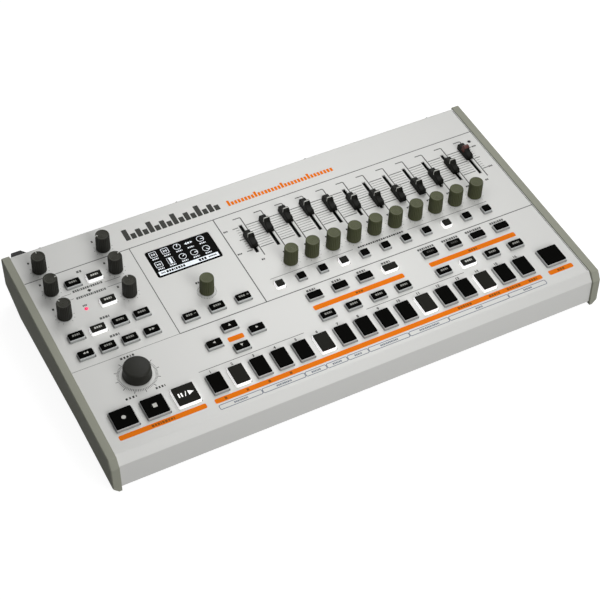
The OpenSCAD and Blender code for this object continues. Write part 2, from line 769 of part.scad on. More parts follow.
// Round five-pin socket: a ring-shaped channel round an insert with its contacts
module din_socket() {
    difference() {
        union() {
            socket_block(20, 9, 13);
            rod(din_mouth + 2 * din_rim, -tray_t - 1, 0.6);
        }
        difference() {
            rod(din_mouth, -9, 2);
            rod(din_mouth - 2, -10, 0.2);
        }
        rod(din_mouth, 0.2, 2);
        for (a = [0:45:180]) rotate([0, 0, a]) translate([din_mouth / 2 - 3.2, 0, 0]) rod(1.8, -8, 2);
    }
}

// Supply inlet: a round recess with its centre pin
module dc_socket() {
    difference() {
        union() {
            socket_block(9.5, 5.5, 13);
            rod(dc_d, -tray_t - 1, 0.6);
        }
        rod(dc_d - 1.6, -10, 2);
    }
    rod(2, -10.5, -1);
}

// Square data socket: a metal shell round a tongue
module usb_socket() {
    difference() {
        union() {
            socket_block(usb_w, 5.5, 15);
            bar(usb_w, usb_h, -tray_t - 1, 0.6);
        }
        difference() {
            bar(usb_w - 3.5, usb_h - 3.2, -10, 2);
            bar(usb_w - 6.4, 3.2, -11, -0.5);
        }
    }
}

// Housing and bezel of the power switch, with the bearing for its pivot
module switch_housing() {
    w = rocker_w + 2 * bezel_gap;
    h = 2 * (rocker_r + bezel_gap);
    difference() {
        union() {
            bar(w + 3, h + 3, -15, 0.1);
            linear_extrude(1.6) plate(w + 5, h + 5, 1);
            translate([-4, 0, -15]) cube([8, socket_drop, 4]);
        }
        bar(w, h, -12, 3);
        translate([-w / 2 - pin_out - 0.3, 0, pivot_n]) rotate([0, 90, 0])
            cylinder(d = pin_d + 2 * pin_gap, h = w + 2 * pin_out + 0.6);
    }
}

pin_d = 2;
pin_out = 0.5;

// Rocker of the power switch, tipped to its off side; its ends are arcs round the
// pivot, so the gap to the bezel stays the same
module power_switch() {
    end = [for (a = [38:-8:-10]) rocker_r * [cos(a), sin(a)]];
    half = concat(end, [[2.5, -4.5]]);
    pin_l = rocker_w + 2 * (bezel_gap + pin_out);
    color(black) on_rear(power_x) translate([0, 0, pivot_n]) rotate([-rocker_tip, 0, 0]) {
        rotate([90, 0, 90]) translate([0, 0, -rocker_w / 2]) linear_extrude(rocker_w)
            polygon(concat([[0, 3.7]], half, reversed([for (p = half) [-p[0], p[1]]])));
        translate([-pin_l / 2, 0, 0]) rotate([0, 90, 0]) cylinder(d = pin_d, h = pin_l);
    }
}

// Hook on the rear wall that holds the supply's cable
module cable_hook() {
    top_z = rear_z - rear_flange - seam;
    drop = 11;
    x0 = -panel_w / 2 + seam;
    wall = (hook_reach - hook_gap) / 2;
    color(black) difference() {
        translate([0, wall_y, top_z - drop]) linear_extrude(drop) polygon([
            [x0, 0], [x0 + hook_w, 0],
            [x0 + 0.6 * hook_w, hook_reach], [x0 + 0.18 * hook_w, hook_reach]]);
        translate([x0 - 1, wall_y + wall, top_z - drop - 1]) cube([hook_w + 2, hook_gap, drop - 1.4]);
    }
}

// ---- Output -------------------------------------------------------------------
top_cover();
bottom_tray();
left_cheek();
right_cheek();
display_window();
control_board();
rear_board();
cable_hook();
feet();
power_switch();
tempo_knob();
data_knob();
transport_pads();
select_buttons();
left_buttons();
right_buttons();
for (i = [1:6]) effect_knob(i - 1);
for (i = [1:10]) voice_knob(i - 1);
for (i = [1:12]) fader(i - 1);
for (i = [1:16]) step_key(i - 1);
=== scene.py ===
"""Desktop drum machine: its finishes, lit keys, knobs, faders and panel print.

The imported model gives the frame. Sizes are in millimetres until a shape is placed,
and in metres from then on.
"""

from __future__ import annotations

import json
import logging
import math
from dataclasses import dataclass, field
from enum import Enum, auto
from functools import cache
from typing import Callable, Sequence

import bmesh
import bpy
import numpy as np
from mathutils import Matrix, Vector

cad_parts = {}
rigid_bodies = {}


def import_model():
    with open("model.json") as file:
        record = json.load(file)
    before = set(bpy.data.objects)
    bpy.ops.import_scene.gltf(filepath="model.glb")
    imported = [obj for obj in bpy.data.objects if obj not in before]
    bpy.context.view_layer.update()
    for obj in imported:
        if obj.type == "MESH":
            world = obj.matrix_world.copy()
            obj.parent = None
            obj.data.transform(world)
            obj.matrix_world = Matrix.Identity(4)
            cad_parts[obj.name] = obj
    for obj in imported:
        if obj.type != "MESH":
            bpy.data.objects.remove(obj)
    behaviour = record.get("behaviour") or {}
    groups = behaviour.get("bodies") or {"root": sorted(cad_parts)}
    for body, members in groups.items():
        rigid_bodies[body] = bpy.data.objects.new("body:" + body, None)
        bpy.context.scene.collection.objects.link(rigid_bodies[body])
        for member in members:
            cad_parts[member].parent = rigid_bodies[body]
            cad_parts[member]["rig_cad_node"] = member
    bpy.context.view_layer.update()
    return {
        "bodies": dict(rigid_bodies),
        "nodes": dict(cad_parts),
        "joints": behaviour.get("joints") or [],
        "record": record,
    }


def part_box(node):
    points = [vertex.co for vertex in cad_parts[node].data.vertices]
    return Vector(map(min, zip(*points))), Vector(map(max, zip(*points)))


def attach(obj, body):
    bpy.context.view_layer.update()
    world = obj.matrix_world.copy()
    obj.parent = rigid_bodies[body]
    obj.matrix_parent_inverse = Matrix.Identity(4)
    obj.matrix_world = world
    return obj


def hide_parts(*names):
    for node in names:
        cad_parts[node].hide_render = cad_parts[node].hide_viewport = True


LOG = logging.getLogger("drum_machine")
MM = 0.001

Colour = tuple[float, float, float]
Spot = tuple[float, float]
Socket = bpy.types.NodeSocket
Array = np.ndarray
Place = Callable[[Array], Array]


def tone(red: int, green: int, blue: int) -> Colour:
    """Turns a display colour of 0 to 255 into a linear one, by the sRGB curve."""
    c = np.array([red, green, blue]) / 255.0
    return tuple(np.where(c > 0.04045, ((c + 0.055) / 1.055) ** 2.4, c / 12.92).tolist())


def link(name: str, data: bpy.types.ID) -> bpy.types.Object:
    """Makes an object of the data and puts it in the scene."""
    made = bpy.data.objects.new(name, data)
    bpy.context.scene.collection.objects.link(made)
    return made


def seat(piece: bpy.types.Object, body: str, node: str = "") -> None:
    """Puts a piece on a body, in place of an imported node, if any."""
    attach(piece, body)
    if node:
        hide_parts(node)


# ---- finishes ----


@dataclass
class Nodes:
    """Short ways to add nodes to a tree."""

    tree: bpy.types.NodeTree

    def feed(self, node: bpy.types.Node, inputs: dict[str | int, object]) -> None:
        """Links a node's inputs to sockets, or sets them to plain values."""
        for key, value in inputs.items():
            if isinstance(value, Socket):
                self.tree.links.new(value, node.inputs[key])
            else:
                node.inputs[key].default_value = value

    def node(self, kind: str, inputs: dict | None = None, **settings: object) -> bpy.types.Node:
        """Adds a node, sets its properties and feeds its inputs."""
        made = self.tree.nodes.new(f"ShaderNode{kind}")
        for label, value in settings.items():
            setattr(made, label, value)
        self.feed(made, inputs or {})
        return made

    def calc(self, operation: str, *values: object) -> Socket:
        """Adds a Math node on sockets or numbers and returns its result."""
        return self.node("Math", dict(enumerate(values)), operation=operation).outputs[0]


class GroupTree(Nodes):
    """A shader node group under construction."""

    def __init__(self, name: str, numbers: Sequence[str], results: Sequence[str]) -> None:
        """Makes a group with a Vector, number inputs and number results."""
        super().__init__(bpy.data.node_groups.new(name, "ShaderNodeTree"))
        kinds = {"Vector": "NodeSocketVector", **dict.fromkeys(numbers, "NodeSocketFloat")}
        for label, kind in kinds.items():
            self.tree.interface.new_socket(label, in_out="INPUT", socket_type=kind)
        for label in results:
            self.tree.interface.new_socket(label, in_out="OUTPUT", socket_type="NodeSocketFloat")
        self.given = self.tree.nodes.new("NodeGroupInput").outputs
        self.end = self.tree.nodes.new("NodeGroupOutput")


@cache
def grain_group() -> bpy.types.NodeTree:
    """Fine moulded grain with slow patches over it.

    Returns:
        A group that turns Vector and Size in millimetres into two noises from 0 to 1:
        Grain, with the wavelength Size, and Patches, about seventy times as long.
    """
    group = GroupTree("surface grain", ["Size"], ["Grain", "Patches"])
    for label, wave in (("Grain", 1000.0), ("Patches", 14.0)):
        scale = group.calc("DIVIDE", wave, group.given["Size"])
        noise = group.node("TexNoise", {"Detail": 3.0, "Scale": scale,
                                        "Vector": group.given["Vector"]})
        group.feed(group.end, {label: noise.outputs[0]})
    return group.tree


@cache
def specks_group() -> bpy.types.NodeTree:
    """Sparse specks of dust.

    Returns:
        A group with Vector, Size in millimetres and Share, whose Mask is 1 nearer than
        Share to the seed of each cell of a Voronoi pattern.
    """
    group = GroupTree("dust specks", ["Size", "Share"], ["Mask"])
    scale = group.calc("DIVIDE", 1000.0, group.given["Size"])
    cells = group.node("TexVoronoi", {"Scale": scale, "Vector": group.given["Vector"]})
    near = group.calc("LESS_THAN", cells.outputs["Distance"], group.given["Share"])
    group.feed(group.end, {"Mask": near})
    return group.tree


class ShaderTree(Nodes):
    """A material with its Principled shader and the object's own coordinates."""

    def __init__(self, name: str) -> None:
        """Makes the material."""
        self.material = bpy.data.materials.new(name)
        self.material.use_nodes = True
        super().__init__(self.material.node_tree)
        self.shader = self.tree.nodes["Principled BSDF"]
        self.coords = self.node("TexCoord").outputs["Object"]

    def blend(self, factor: object, low: object, high: object) -> Socket:
        """Adds a colour mix from low to high and returns its result."""
        low, high = ((*c, 1.0) if isinstance(c, tuple) else c for c in (low, high))
        return self.node("Mix", {0: factor, 6: low, 7: high}, data_type="RGBA").outputs[2]

    def shared(self, group: bpy.types.NodeTree, **values: float) -> bpy.types.NodeOutputs:
        """Places a shared group, fed with the object's coordinates."""
        return self.node("Group", {"Vector": self.coords, **values}, node_tree=group).outputs

    def relief(self, height: Socket, depth_mm: float) -> None:
        """Feeds the shader's normal from a height in 0..1 times depth_mm."""
        bump = self.node("Bump", {"Distance": depth_mm * MM, "Height": height})
        self.feed(self.shader, {"Normal": bump.outputs[0]})


@dataclass(frozen=True)
class Finish:
    """A coloured surface with fine grain, slow patches and a little dust.

    Attributes:
        name: The material's name.
        colour: Linear base colour.
        roughness: Mean roughness.
        metallic: 1 for bare metal.
        grain_mm: Wavelength of the grain.
        relief_mm: Depth of the grain.
        mottle: Share by which patches lighten and darken the colour.
        polish: Amount by which patches change the roughness.
        dust: Share of the surface under pale specks.
        coat: Weight of a clear coat.
        glow: Strength of its own light.
        shine: Specular level, where 0.5 is an ordinary plastic.
    """

    name: str
    colour: Colour
    roughness: float = 0.5
    metallic: float = 0.0
    grain_mm: float = 0.3
    relief_mm: float = 0.01
    mottle: float = 0.04
    polish: float = 0.06
    dust: float = 0.0
    coat: float = 0.0
    glow: float = 0.0
    shine: float = 0.5

    COAT_ROUGHNESS = 0.04
    DUST_COLOUR = (0.55, 0.55, 0.53)
    SPECK_MM = 2.2

    def material(self) -> bpy.types.Material:
        """Returns the finish's material, made on the first call."""
        return bpy.data.materials.get(self.name) or self.build().material

    def build(self) -> ShaderTree:
        """Makes the shader: colour and roughness follow the patches, bump the grain."""
        tree = ShaderTree(self.name)
        grain = tree.shared(grain_group(), Size=self.grain_mm)
        low = tuple(c * (1.0 - self.mottle) for c in self.colour)
        high = tuple(min(c * (1.0 + self.mottle), 1.0) for c in self.colour)
        colour = tree.blend(grain["Patches"], low, high)
        if self.dust > 0.0:
            specks = tree.shared(specks_group(), Size=self.SPECK_MM, Share=self.dust)
            colour = tree.blend(specks["Mask"], colour, self.DUST_COLOUR)
        rough = tree.calc("MULTIPLY_ADD", grain["Patches"], 2.0 * self.polish,
                          self.roughness - self.polish)
        tree.feed(tree.shader, {
            "Base Color": colour, "Roughness": rough, "Metallic": self.metallic,
            "Specular IOR Level": self.shine, "Coat Weight": self.coat,
            "Coat Roughness": self.COAT_ROUGHNESS})
        if self.glow > 0.0:
            tree.feed(tree.shader, {"Emission Color": (*self.colour, 1.0),
                                    "Emission Strength": self.glow})
        tree.relief(grain["Grain"], self.relief_mm)
        return tree


class BoardFinish(Finish):
    """Green circuit board: a lacquered sheet with paler tracks in a fine grid."""

    TRACK_MM = 1.6

    def build(self) -> ShaderTree:
        """Adds tracks, which are the mortar lines of a brick pattern, to the plain finish."""
        tree = super().build()
        bricks = tree.node("TexBrick", {"Scale": 1000.0 / self.TRACK_MM / 4.0,
                                        "Mortar Size": 0.012, "Vector": tree.coords})
        paler = tuple(c * 1.7 for c in self.colour)
        tracks = tree.blend(bricks.outputs["Fac"], self.colour, paler)
        tree.feed(tree.shader, {"Base Color": tracks})
        return tree


class TurnedFinish(Finish):
    """Plated metal with fine turning marks: rings of a stretched noise round the part."""

    def build(self) -> ShaderTree:
        """Adds the marks as bump, from a noise that is drawn out along Y."""
        tree = super().build()
        drawn = tree.node("Mapping", {"Scale": (900.0, 9000.0, 900.0), "Vector": tree.coords})
        noise = tree.node("TexNoise", {"Scale": 1.0, "Vector": drawn.outputs[0]})
        tree.relief(noise.outputs[0], self.relief_mm)
        return tree


class Finishes(Enum):
    """Every finish on the machine."""

    COVER = Finish("cover powder coat", tone(216, 216, 213), 0.44, grain_mm=0.45,
                   relief_mm=0.012, mottle=0.012, polish=0.04)
    TRAY = Finish("tray powder coat", tone(96, 97, 94), 0.55, grain_mm=0.5, relief_mm=0.02,
                  mottle=0.03)
    CHEEK = Finish("cheek grained plastic", tone(161, 162, 149), 0.55, grain_mm=0.6,
                   relief_mm=0.035, mottle=0.025, shine=0.02)
    KNOB_BLACK = Finish("black knob", tone(37, 37, 33), 0.45, grain_mm=0.25, relief_mm=0.008,
                        mottle=0.08, shine=0.12)
    # Lighter copies of the knob plastics for the knob tops: painted light from above.
    BLACK_TOP_PAINTED_LIGHT = Finish("black knob top, painted light", tone(56, 56, 50), grain_mm=0.25, mottle=0.16,
                        shine=0.12)
    KNOB_OLIVE = Finish("olive knob", tone(69, 72, 50), mottle=0.05, shine=0.12)
    OLIVE_TOP_PAINTED_LIGHT = Finish("olive knob top, painted light", tone(89, 92, 71), mottle=0.1, shine=0.12)
    FADER = Finish("fader cap", tone(16, 16, 13), 0.38, mottle=0.08, shine=0.08)
    FADER_RED = Finish("red fader ridge", tone(74, 26, 19), 0.38, shine=0.3)
    SKIRT = Finish("key skirt", tone(204, 206, 205), 0.38, grain_mm=0.5, relief_mm=0.004,
                   mottle=0.03, shine=0.3)
    # A darker copy of the skirt for its wall below the ledge: painted shade.
    SKIRT_WALL_SHADE = Finish("key skirt wall, painted shade", tone(160, 162, 161), 0.38, grain_mm=0.5,
                        relief_mm=0.004, mottle=0.03, shine=0.3)
    SKIRT_LIT = Finish("lit key skirt", (0.92, 0.92, 0.92), 0.4, mottle=0.01, glow=0.55)
    KEY_TOP = Finish("key top", tone(4, 4, 3), grain_mm=0.2, relief_mm=0.006, mottle=0.2,
                     shine=0.01)
    KEY_TOP_LIT = Finish("lit key top", tone(38, 38, 35), grain_mm=0.2, relief_mm=0.006,
                         mottle=0.1, shine=0.01)
    LEGEND = Finish("white legend ink", tone(204, 204, 198), 0.6, mottle=0.02, shine=0.1)
    LEGEND_GREY = Finish("grey legend ink", tone(146, 146, 141), 0.6, mottle=0.03, shine=0.1)
    LEGEND_LIT = Finish("lit legend", (0.9, 0.9, 0.88), 0.6, mottle=0.01, glow=0.5, shine=0.1)
    INK = Finish("grey panel ink", tone(92, 93, 91), 0.6, mottle=0.05, shine=0.2)
    INK_DARK = Finish("dark panel ink", tone(60, 60, 57), 0.6, mottle=0.05, shine=0.15)
    INK_PALE = Finish("pale panel ink", tone(112, 120, 132), 0.6, shine=0.2)
    INK_ORANGE = Finish("orange panel ink", tone(241, 124, 22), 0.55, mottle=0.03, shine=0.02)
    INK_BROWN = Finish("brown panel ink", tone(150, 84, 30), 0.55, shine=0.02)
    GLASS = Finish("display glass", tone(10, 10, 8), 0.1, grain_mm=3.0, relief_mm=0.0,
                   mottle=0.1, polish=0.02, shine=0.01)
    PIXEL = Finish("display pixels", (0.76, 0.8, 0.84), mottle=0.02, glow=0.35, shine=0.1)
    LAMP_RED = Finish("red lamp", tone(226, 32, 84), 0.25, mottle=0.02, glow=0.9)
    LAMP_OFF = Finish("dark lamp", tone(30, 22, 20), 0.2, mottle=0.05, shine=0.3)
    BOARD = BoardFinish("circuit board", tone(22, 68, 40), 0.4, coat=0.3)
    PART = Finish("black component", tone(26, 26, 25), 0.55, grain_mm=0.4, relief_mm=0.012,
                  dust=0.05)
    NICKEL = TurnedFinish("nickel plate", tone(186, 184, 178), 0.28, 1.0, relief_mm=0.004)
    SCREW = TurnedFinish("black screw", tone(60, 60, 60), 0.35, 1.0, relief_mm=0.004)
    RUBBER = Finish("foot rubber", tone(30, 30, 29), 0.82, grain_mm=0.8, relief_mm=0.05,
                    mottle=0.12, dust=0.12)
    HOOK = Finish("hook plastic", tone(13, 13, 12), grain_mm=0.5, relief_mm=0.02, mottle=0.08,
                  shine=0.3)


def coat(mesh: bpy.types.Mesh, *finishes: Finishes) -> None:
    """Gives a mesh the finishes as its slots, in order."""
    mesh.materials.clear()
    for finish in finishes:
        mesh.materials.append(finish.value.material())


# ---- surfaces ----


def arc(turn: Array | float) -> Array:
    """Points on the unit circle at the given angles."""
    return np.stack([np.cos(turn), np.sin(turn)], axis=-1)


def circle(radius: float, steps: int = 20) -> Array:
    """Counter-clockwise circle round the origin."""
    return radius * arc(np.arange(steps) * 2 * math.pi / steps)


def rounded_rect(width: float, depth: float, radius: float, steps: int = 4) -> Array:
    """Rectangle round the origin, with corners of so many edges, counter-clockwise."""
    turn = np.radians(np.concatenate(
        [np.linspace(start, start + 90, steps + 1) for start in (0, 90, 180, 270)]))
    corner = np.repeat([[1, 1], [-1, 1], [-1, -1], [1, -1]], steps + 1, axis=0)
    return corner * [width / 2 - radius, depth / 2 - radius] + radius * arc(turn)


def swing(degrees: float) -> Array:
    """The matrix that turns rows of flat points counter-clockwise."""
    c, s = arc(math.radians(degrees))
    return np.array([[c, s], [-s, c]])


def raised(flat: Array, height: float) -> Array:
    """Flat points at a height."""
    return np.column_stack([flat, np.full(len(flat), height)])


def lathe(profile: Sequence[Spot], steps: int = 48) -> Array:
    """Turns a profile of (radius, height) round the vertical axis, as rings."""
    return np.stack([raised(circle(r, steps), h) for r, h in profile])


def capped_loft(width: float, depth: float, radius: float, profile: Sequence[Spot]) -> Array:
    """Rings of a rounded rectangle that shrinks by an inset as it rises.

    Args:
        width: Full width at inset 0.
        depth: Full depth at inset 0.
        radius: Corner radius at inset 0.
        profile: Pairs of (inset, height) from below.
    """
    return np.stack([
        raised(rounded_rect(width - 2 * inset, depth - 2 * inset, max(radius - inset, 0.12)), h)
        for inset, h in profile])


def blocks(count: int, width: float, height: float, gap: float = 0.3) -> list[Array]:
    """Outlines of a centred row of blocks, one where each letter of a word would be.

    Their widths run through a short cycle, so that a row looks like set type.

    Args:
        count: Number of blocks.
        width: The widest block's width.
        height: Height of every block.
        gap: Space between blocks, as a share of the width.
    """
    share = np.array([1.0, 0.82, 0.94, 0.45, 0.88])[np.arange(count) % 5]
    ends = np.cumsum(share * width + gap * width)
    middle = ends - gap * width - share * width / 2 - (ends[-1] - gap * width) / 2
    return [rounded_rect(width * w, height, 0.16, 2) + [x, 0.0] for w, x in zip(share, middle)]


def lettering(words: str, size: float) -> tuple[Array, list[list[int]]]:
    """Thin closed mesh of plain figures, centred on the origin: its vertices and faces."""
    curve = bpy.data.curves.new("figures", "FONT")
    curve.body = words
    curve.size = size
    curve.extrude = 0.04
    curve.resolution_u = 2
    curve.offset = 0.04 * size
    curve.align_x = curve.align_y = "CENTER"
    holder = bpy.data.objects.new("figures", curve)
    mesh = bpy.data.meshes.new_from_object(holder)
    points = np.empty(len(mesh.vertices) * 3)
    mesh.vertices.foreach_get("co", points)
    faces = [list(face.vertices) for face in mesh.polygons]
    bpy.data.objects.remove(holder)
    bpy.data.curves.remove(curve)
    bpy.data.meshes.remove(mesh)
    return points.reshape(-1, 3), faces


class Shell:
    """Closed surfaces gathered into one mesh, each with its own finish slot."""

    def __init__(self, *finishes: Finishes) -> None:
        """Starts an empty shell whose slots are the finishes in order."""
        self.finishes = finishes
        self._points: list[Array] = []
        self._faces: list[list[int]] = []
        self._slots: list[int] = []
        self._count = 0

    def add(self, points: Array, faces: Sequence[Sequence[int]], slot: int) -> None:
        """Adds a ready mesh, whose faces are indices into its points, in one slot."""
        self._points.append(points)
        self._faces.extend([[i + self._count for i in face] for face in faces])
        self._slots.extend([slot] * len(faces))
        self._count += len(points)

    def tube(self, rings: Array, slot: int = 0, ends: bool = True,
             bands: Sequence[int] | None = None) -> None:
        """Adds a tube through rings of points.

        A point's neighbours are the next point of its ring and the same point of the
        next ring, and each ring turns right-handed about the way that the rings go.

        Args:
            rings: Points as [ring, around, 3].
            slot: The finish slot.
            ends: True for flat ends, False to join the last ring to the first.
            bands: A slot for each strip between two rings, where they differ.
        """
        rows, around = rings.shape[:2]
        index = np.arange(rows * around).reshape(rows, around)
        low = index[:-1] if ends else index
        high = index[1:] if ends else np.roll(index, -1, axis=0)
        quads = np.stack([low, np.roll(low, -1, 1), np.roll(high, -1, 1), high], axis=-1)
        faces = quads.reshape(-1, 4).tolist()
        if ends:
            faces += [index[0, ::-1].tolist(), index[-1].tolist()]
        self.add(rings.reshape(-1, 3), faces, slot)
        if bands is not None:
            self._slots[-len(faces):] = [*np.repeat(bands, around).tolist(), bands[0], bands[-1]]

    def prism(self, outline: Array, low: float, high: float, slot: int = 0) -> None:
        """Adds an upright prism on a counter-clockwise outline, from low to high."""
        self.tube(np.stack([raised(outline, n) for n in (low, high)]), slot)

    def ribbon(self, path: Array, width: float, low: float, high: float, slot: int = 0,
               closed: bool = False) -> None:
        """Adds a flat ribbon of one width along a path in the plane.

        Each point moves sideways by half the width along the sum of its two sides'
        normals, over one plus their cosine, so corners are mitred.

        Args:
            path: Points as [point, 2].
            width: Its width.
            low: Level of its underside.
            high: Level of its top.
            slot: The finish slot.
            closed: True where the last point joins the first.
        """
        step = np.roll(path, -1, axis=0) - path
        step /= np.maximum(np.linalg.norm(step, axis=1, keepdims=True), 1e-9)
        before = np.roll(step, 1, axis=0)
        if not closed:
            step[-1] = before[-1]
            before[0] = step[0]
        normal = np.column_stack([-(step + before)[:, 1], (step + before)[:, 0]])
        side = normal / (1.0 + np.sum(step * before, axis=1, keepdims=True)) * width / 2.0
        left, right = path + side, path - side
        corners = ((left, low), (left, high), (right, high), (right, low))
        self.tube(np.stack([raised(edge, n) for edge, n in corners], axis=1), slot,
                  ends=not closed)

    def build(self, name: str, place: Place, body: str = "housing", node: str = "",
              slot: str = "", sharp: float = 35.0) -> None:
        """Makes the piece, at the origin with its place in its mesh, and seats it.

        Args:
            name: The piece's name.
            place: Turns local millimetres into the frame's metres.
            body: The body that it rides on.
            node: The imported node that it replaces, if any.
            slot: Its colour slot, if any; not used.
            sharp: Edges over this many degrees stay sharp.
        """
        mesh = bpy.data.meshes.new(name)
        mesh.from_pydata(place(np.concatenate(self._points)).tolist(), [], self._faces)
        coat(mesh, *self.finishes)
        mesh.polygons.foreach_set("material_index", np.array(self._slots, dtype=np.int32))
        mesh.polygons.foreach_set("use_smooth", np.ones(len(mesh.polygons), dtype=bool))
        mesh.set_sharp_from_angle(angle=math.radians(sharp))
        mesh.update()
        LOG.info("%s: %d faces", name, len(mesh.polygons))
        seat(link(name, mesh), body, node)


# ---- where it goes ----


@dataclass(frozen=True)
class Panel:
    """The sloping panel: x from its left edge, s up its slope, n square to its face."""

    front_y: float
    front_z: float
    tilt: float
    width: float = 478.0

    @classmethod
    def from_joints(cls, joints: Sequence[dict], tempo: Spot) -> Panel:
        """Finds the panel from the tempo knob's joint and the knob's x and s."""
        joint = next(j for j in joints if j["name"] == "tempo_turn")
        _, y, z = (c / MM for c in joint["pos_m"])
        tilt = math.atan2(-joint["axis"][1], joint["axis"][2])
        return cls(y - tempo[1] * math.cos(tilt), z - tempo[1] * math.sin(tilt), tilt)

    def world(self, points: Array) -> Array:
        """Turns panel millimetres into metres: x slides, s and n turn by the tilt."""
        x, s, n = points.T
        y = self.front_y + s * math.cos(self.tilt) - n * math.sin(self.tilt)
        z = self.front_z + s * math.sin(self.tilt) + n * math.cos(self.tilt)
        return np.column_stack([x - self.width / 2, y, z]) * MM

    def at(self, spot: Spot) -> Place:
        """Returns the placing of a control whose own origin is at spot."""
        return lambda points: self.world(points + [*spot, 0.0])


def row(start: float, pitch: float, count: int, s: float) -> list[Spot]:
    """Evenly spaced spots at one height of the panel."""
    return [(start + pitch * i, s) for i in range(count)]


@dataclass(frozen=True)
class Layout:
    """Where the controls sit on the panel."""

    left_x: tuple[float, ...] = (18.4, 39.5, 60.6, 81.7)
    effect_rows: tuple[float, ...] = (222.5, 192.6, 160.0)
    edit_rows: tuple[float, ...] = (132.6, 109.8)
    tempo: Spot = (50.0, 70.2)
    data: Spot = (146.1, 132.2)
    glass: Spot = (146.1, 183.0)
    signal_lamp: Spot = (39.3, 160.3)
    accent_lamp: Spot = (469.1, 199.7)
    voice_x: float = 210.0
    voice_pitch: float = 22.36
    voice_knob_row: float = 131.9
    select_row: float = 110.1
    fader_row: float = 175.3
    fader_travel: float = 30.0
    step_x: float = 108.5
    step_pitch: float = 21.1
    key_row: float = 30.8
    pad_x: tuple[float, ...] = (20.5, 49.5, 78.5, 456.2)
    function_x: tuple[float, ...] = (232.5, 354.9)
    function_rows: tuple[float, ...] = (83.9, 58.1)
    button_pitch: float = 26.3

    def effect_knobs(self) -> list[Spot]:
        """The six effect knobs, left column first."""
        return [(self.left_x[c], s) for c in (0, 3) for s in self.effect_rows]

    def left_buttons(self) -> list[Spot]:
        """Effect switches, edit row, mode row, menu row and arrow keys."""
        x, rows = self.left_x, self.effect_rows
        return [(x[1], rows[1]), (x[2], rows[1]), (x[2], rows[2]),
                *((c, s) for s in self.edit_rows for c in x),
                (119.8, 110.0), (146.1, 110.0), (172.4, 110.0),
                (125.0, 71.3), (167.2, 71.3), (146.1, 58.4), (146.1, 84.2)]

    def right_buttons(self) -> list[Spot]:
        """The two groups of function buttons, each in two rows."""
        return [spot for x in self.function_x for s in self.function_rows
                for spot in row(x, self.button_pitch, 4, s)]

    def voices(self, first: int, count: int, s: float) -> list[Spot]:
        """A row at the voices' pitch."""
        return [(self.voice_x + (first + i) * self.voice_pitch, s) for i in range(count)]


# ---- keys ----


class Legend(Enum):
    """What is printed on a key's top."""

    NONE = auto()
    FAINT = auto()
    WORD = auto()
    RECORD = auto()
    STOP = auto()
    PLAY = auto()
    BACK = auto()
    FORWARD = auto()
    LEFT = auto()
    RIGHT = auto()
    UP = auto()
    DOWN = auto()
    MINUS = auto()
    PLUS = auto()

    def outlines(self) -> list[Array]:
        """Returns the legend's flat shapes, each a counter-clockwise outline."""
        arrow = np.array([[1.45, 0.0], [-1.15, 1.35], [-1.15, -1.35]])
        word = (1.75, 2.1)
        match self:
            case Legend.RIGHT | Legend.UP | Legend.LEFT | Legend.DOWN:
                order = (Legend.RIGHT, Legend.UP, Legend.LEFT, Legend.DOWN)
                return [arrow @ swing(90 * order.index(self))]
            case Legend.BACK | Legend.FORWARD:
                sign = 1.0 if self is Legend.FORWARD else -1.0
                return [arrow * 0.9 * sign + [x, 0.0] for x in (-1.3, 1.4)]
            case Legend.RECORD:
                return [circle(2.0)]
            case Legend.STOP:
                return [rounded_rect(4.0, 4.2, 0.1)]
            case Legend.PLAY:
                return [*(rounded_rect(1.3, 4.4, 0.1) + [x, 0.0] for x in (-6.4, -3.8)),
                        np.array([[-1.5, -2.6], [-0.8, -2.6], [1.0, 2.6], [0.3, 2.6]]),
                        np.array([[7.4, 0.0], [2.4, 2.6], [2.4, -2.6]])]
            case Legend.WORD | Legend.FAINT:
                return blocks(4, *word)
            case Legend.MINUS | Legend.PLUS:
                bars = ((2.0, 0.6), (0.6, 2.0))[:2 if self is Legend.PLUS else 1]
                return [*(block - [1.4, 0.0] for block in blocks(3, *word)),
                        *(rounded_rect(*size, 0.1) + [4.4, 0.0] for size in bars)]
        return []


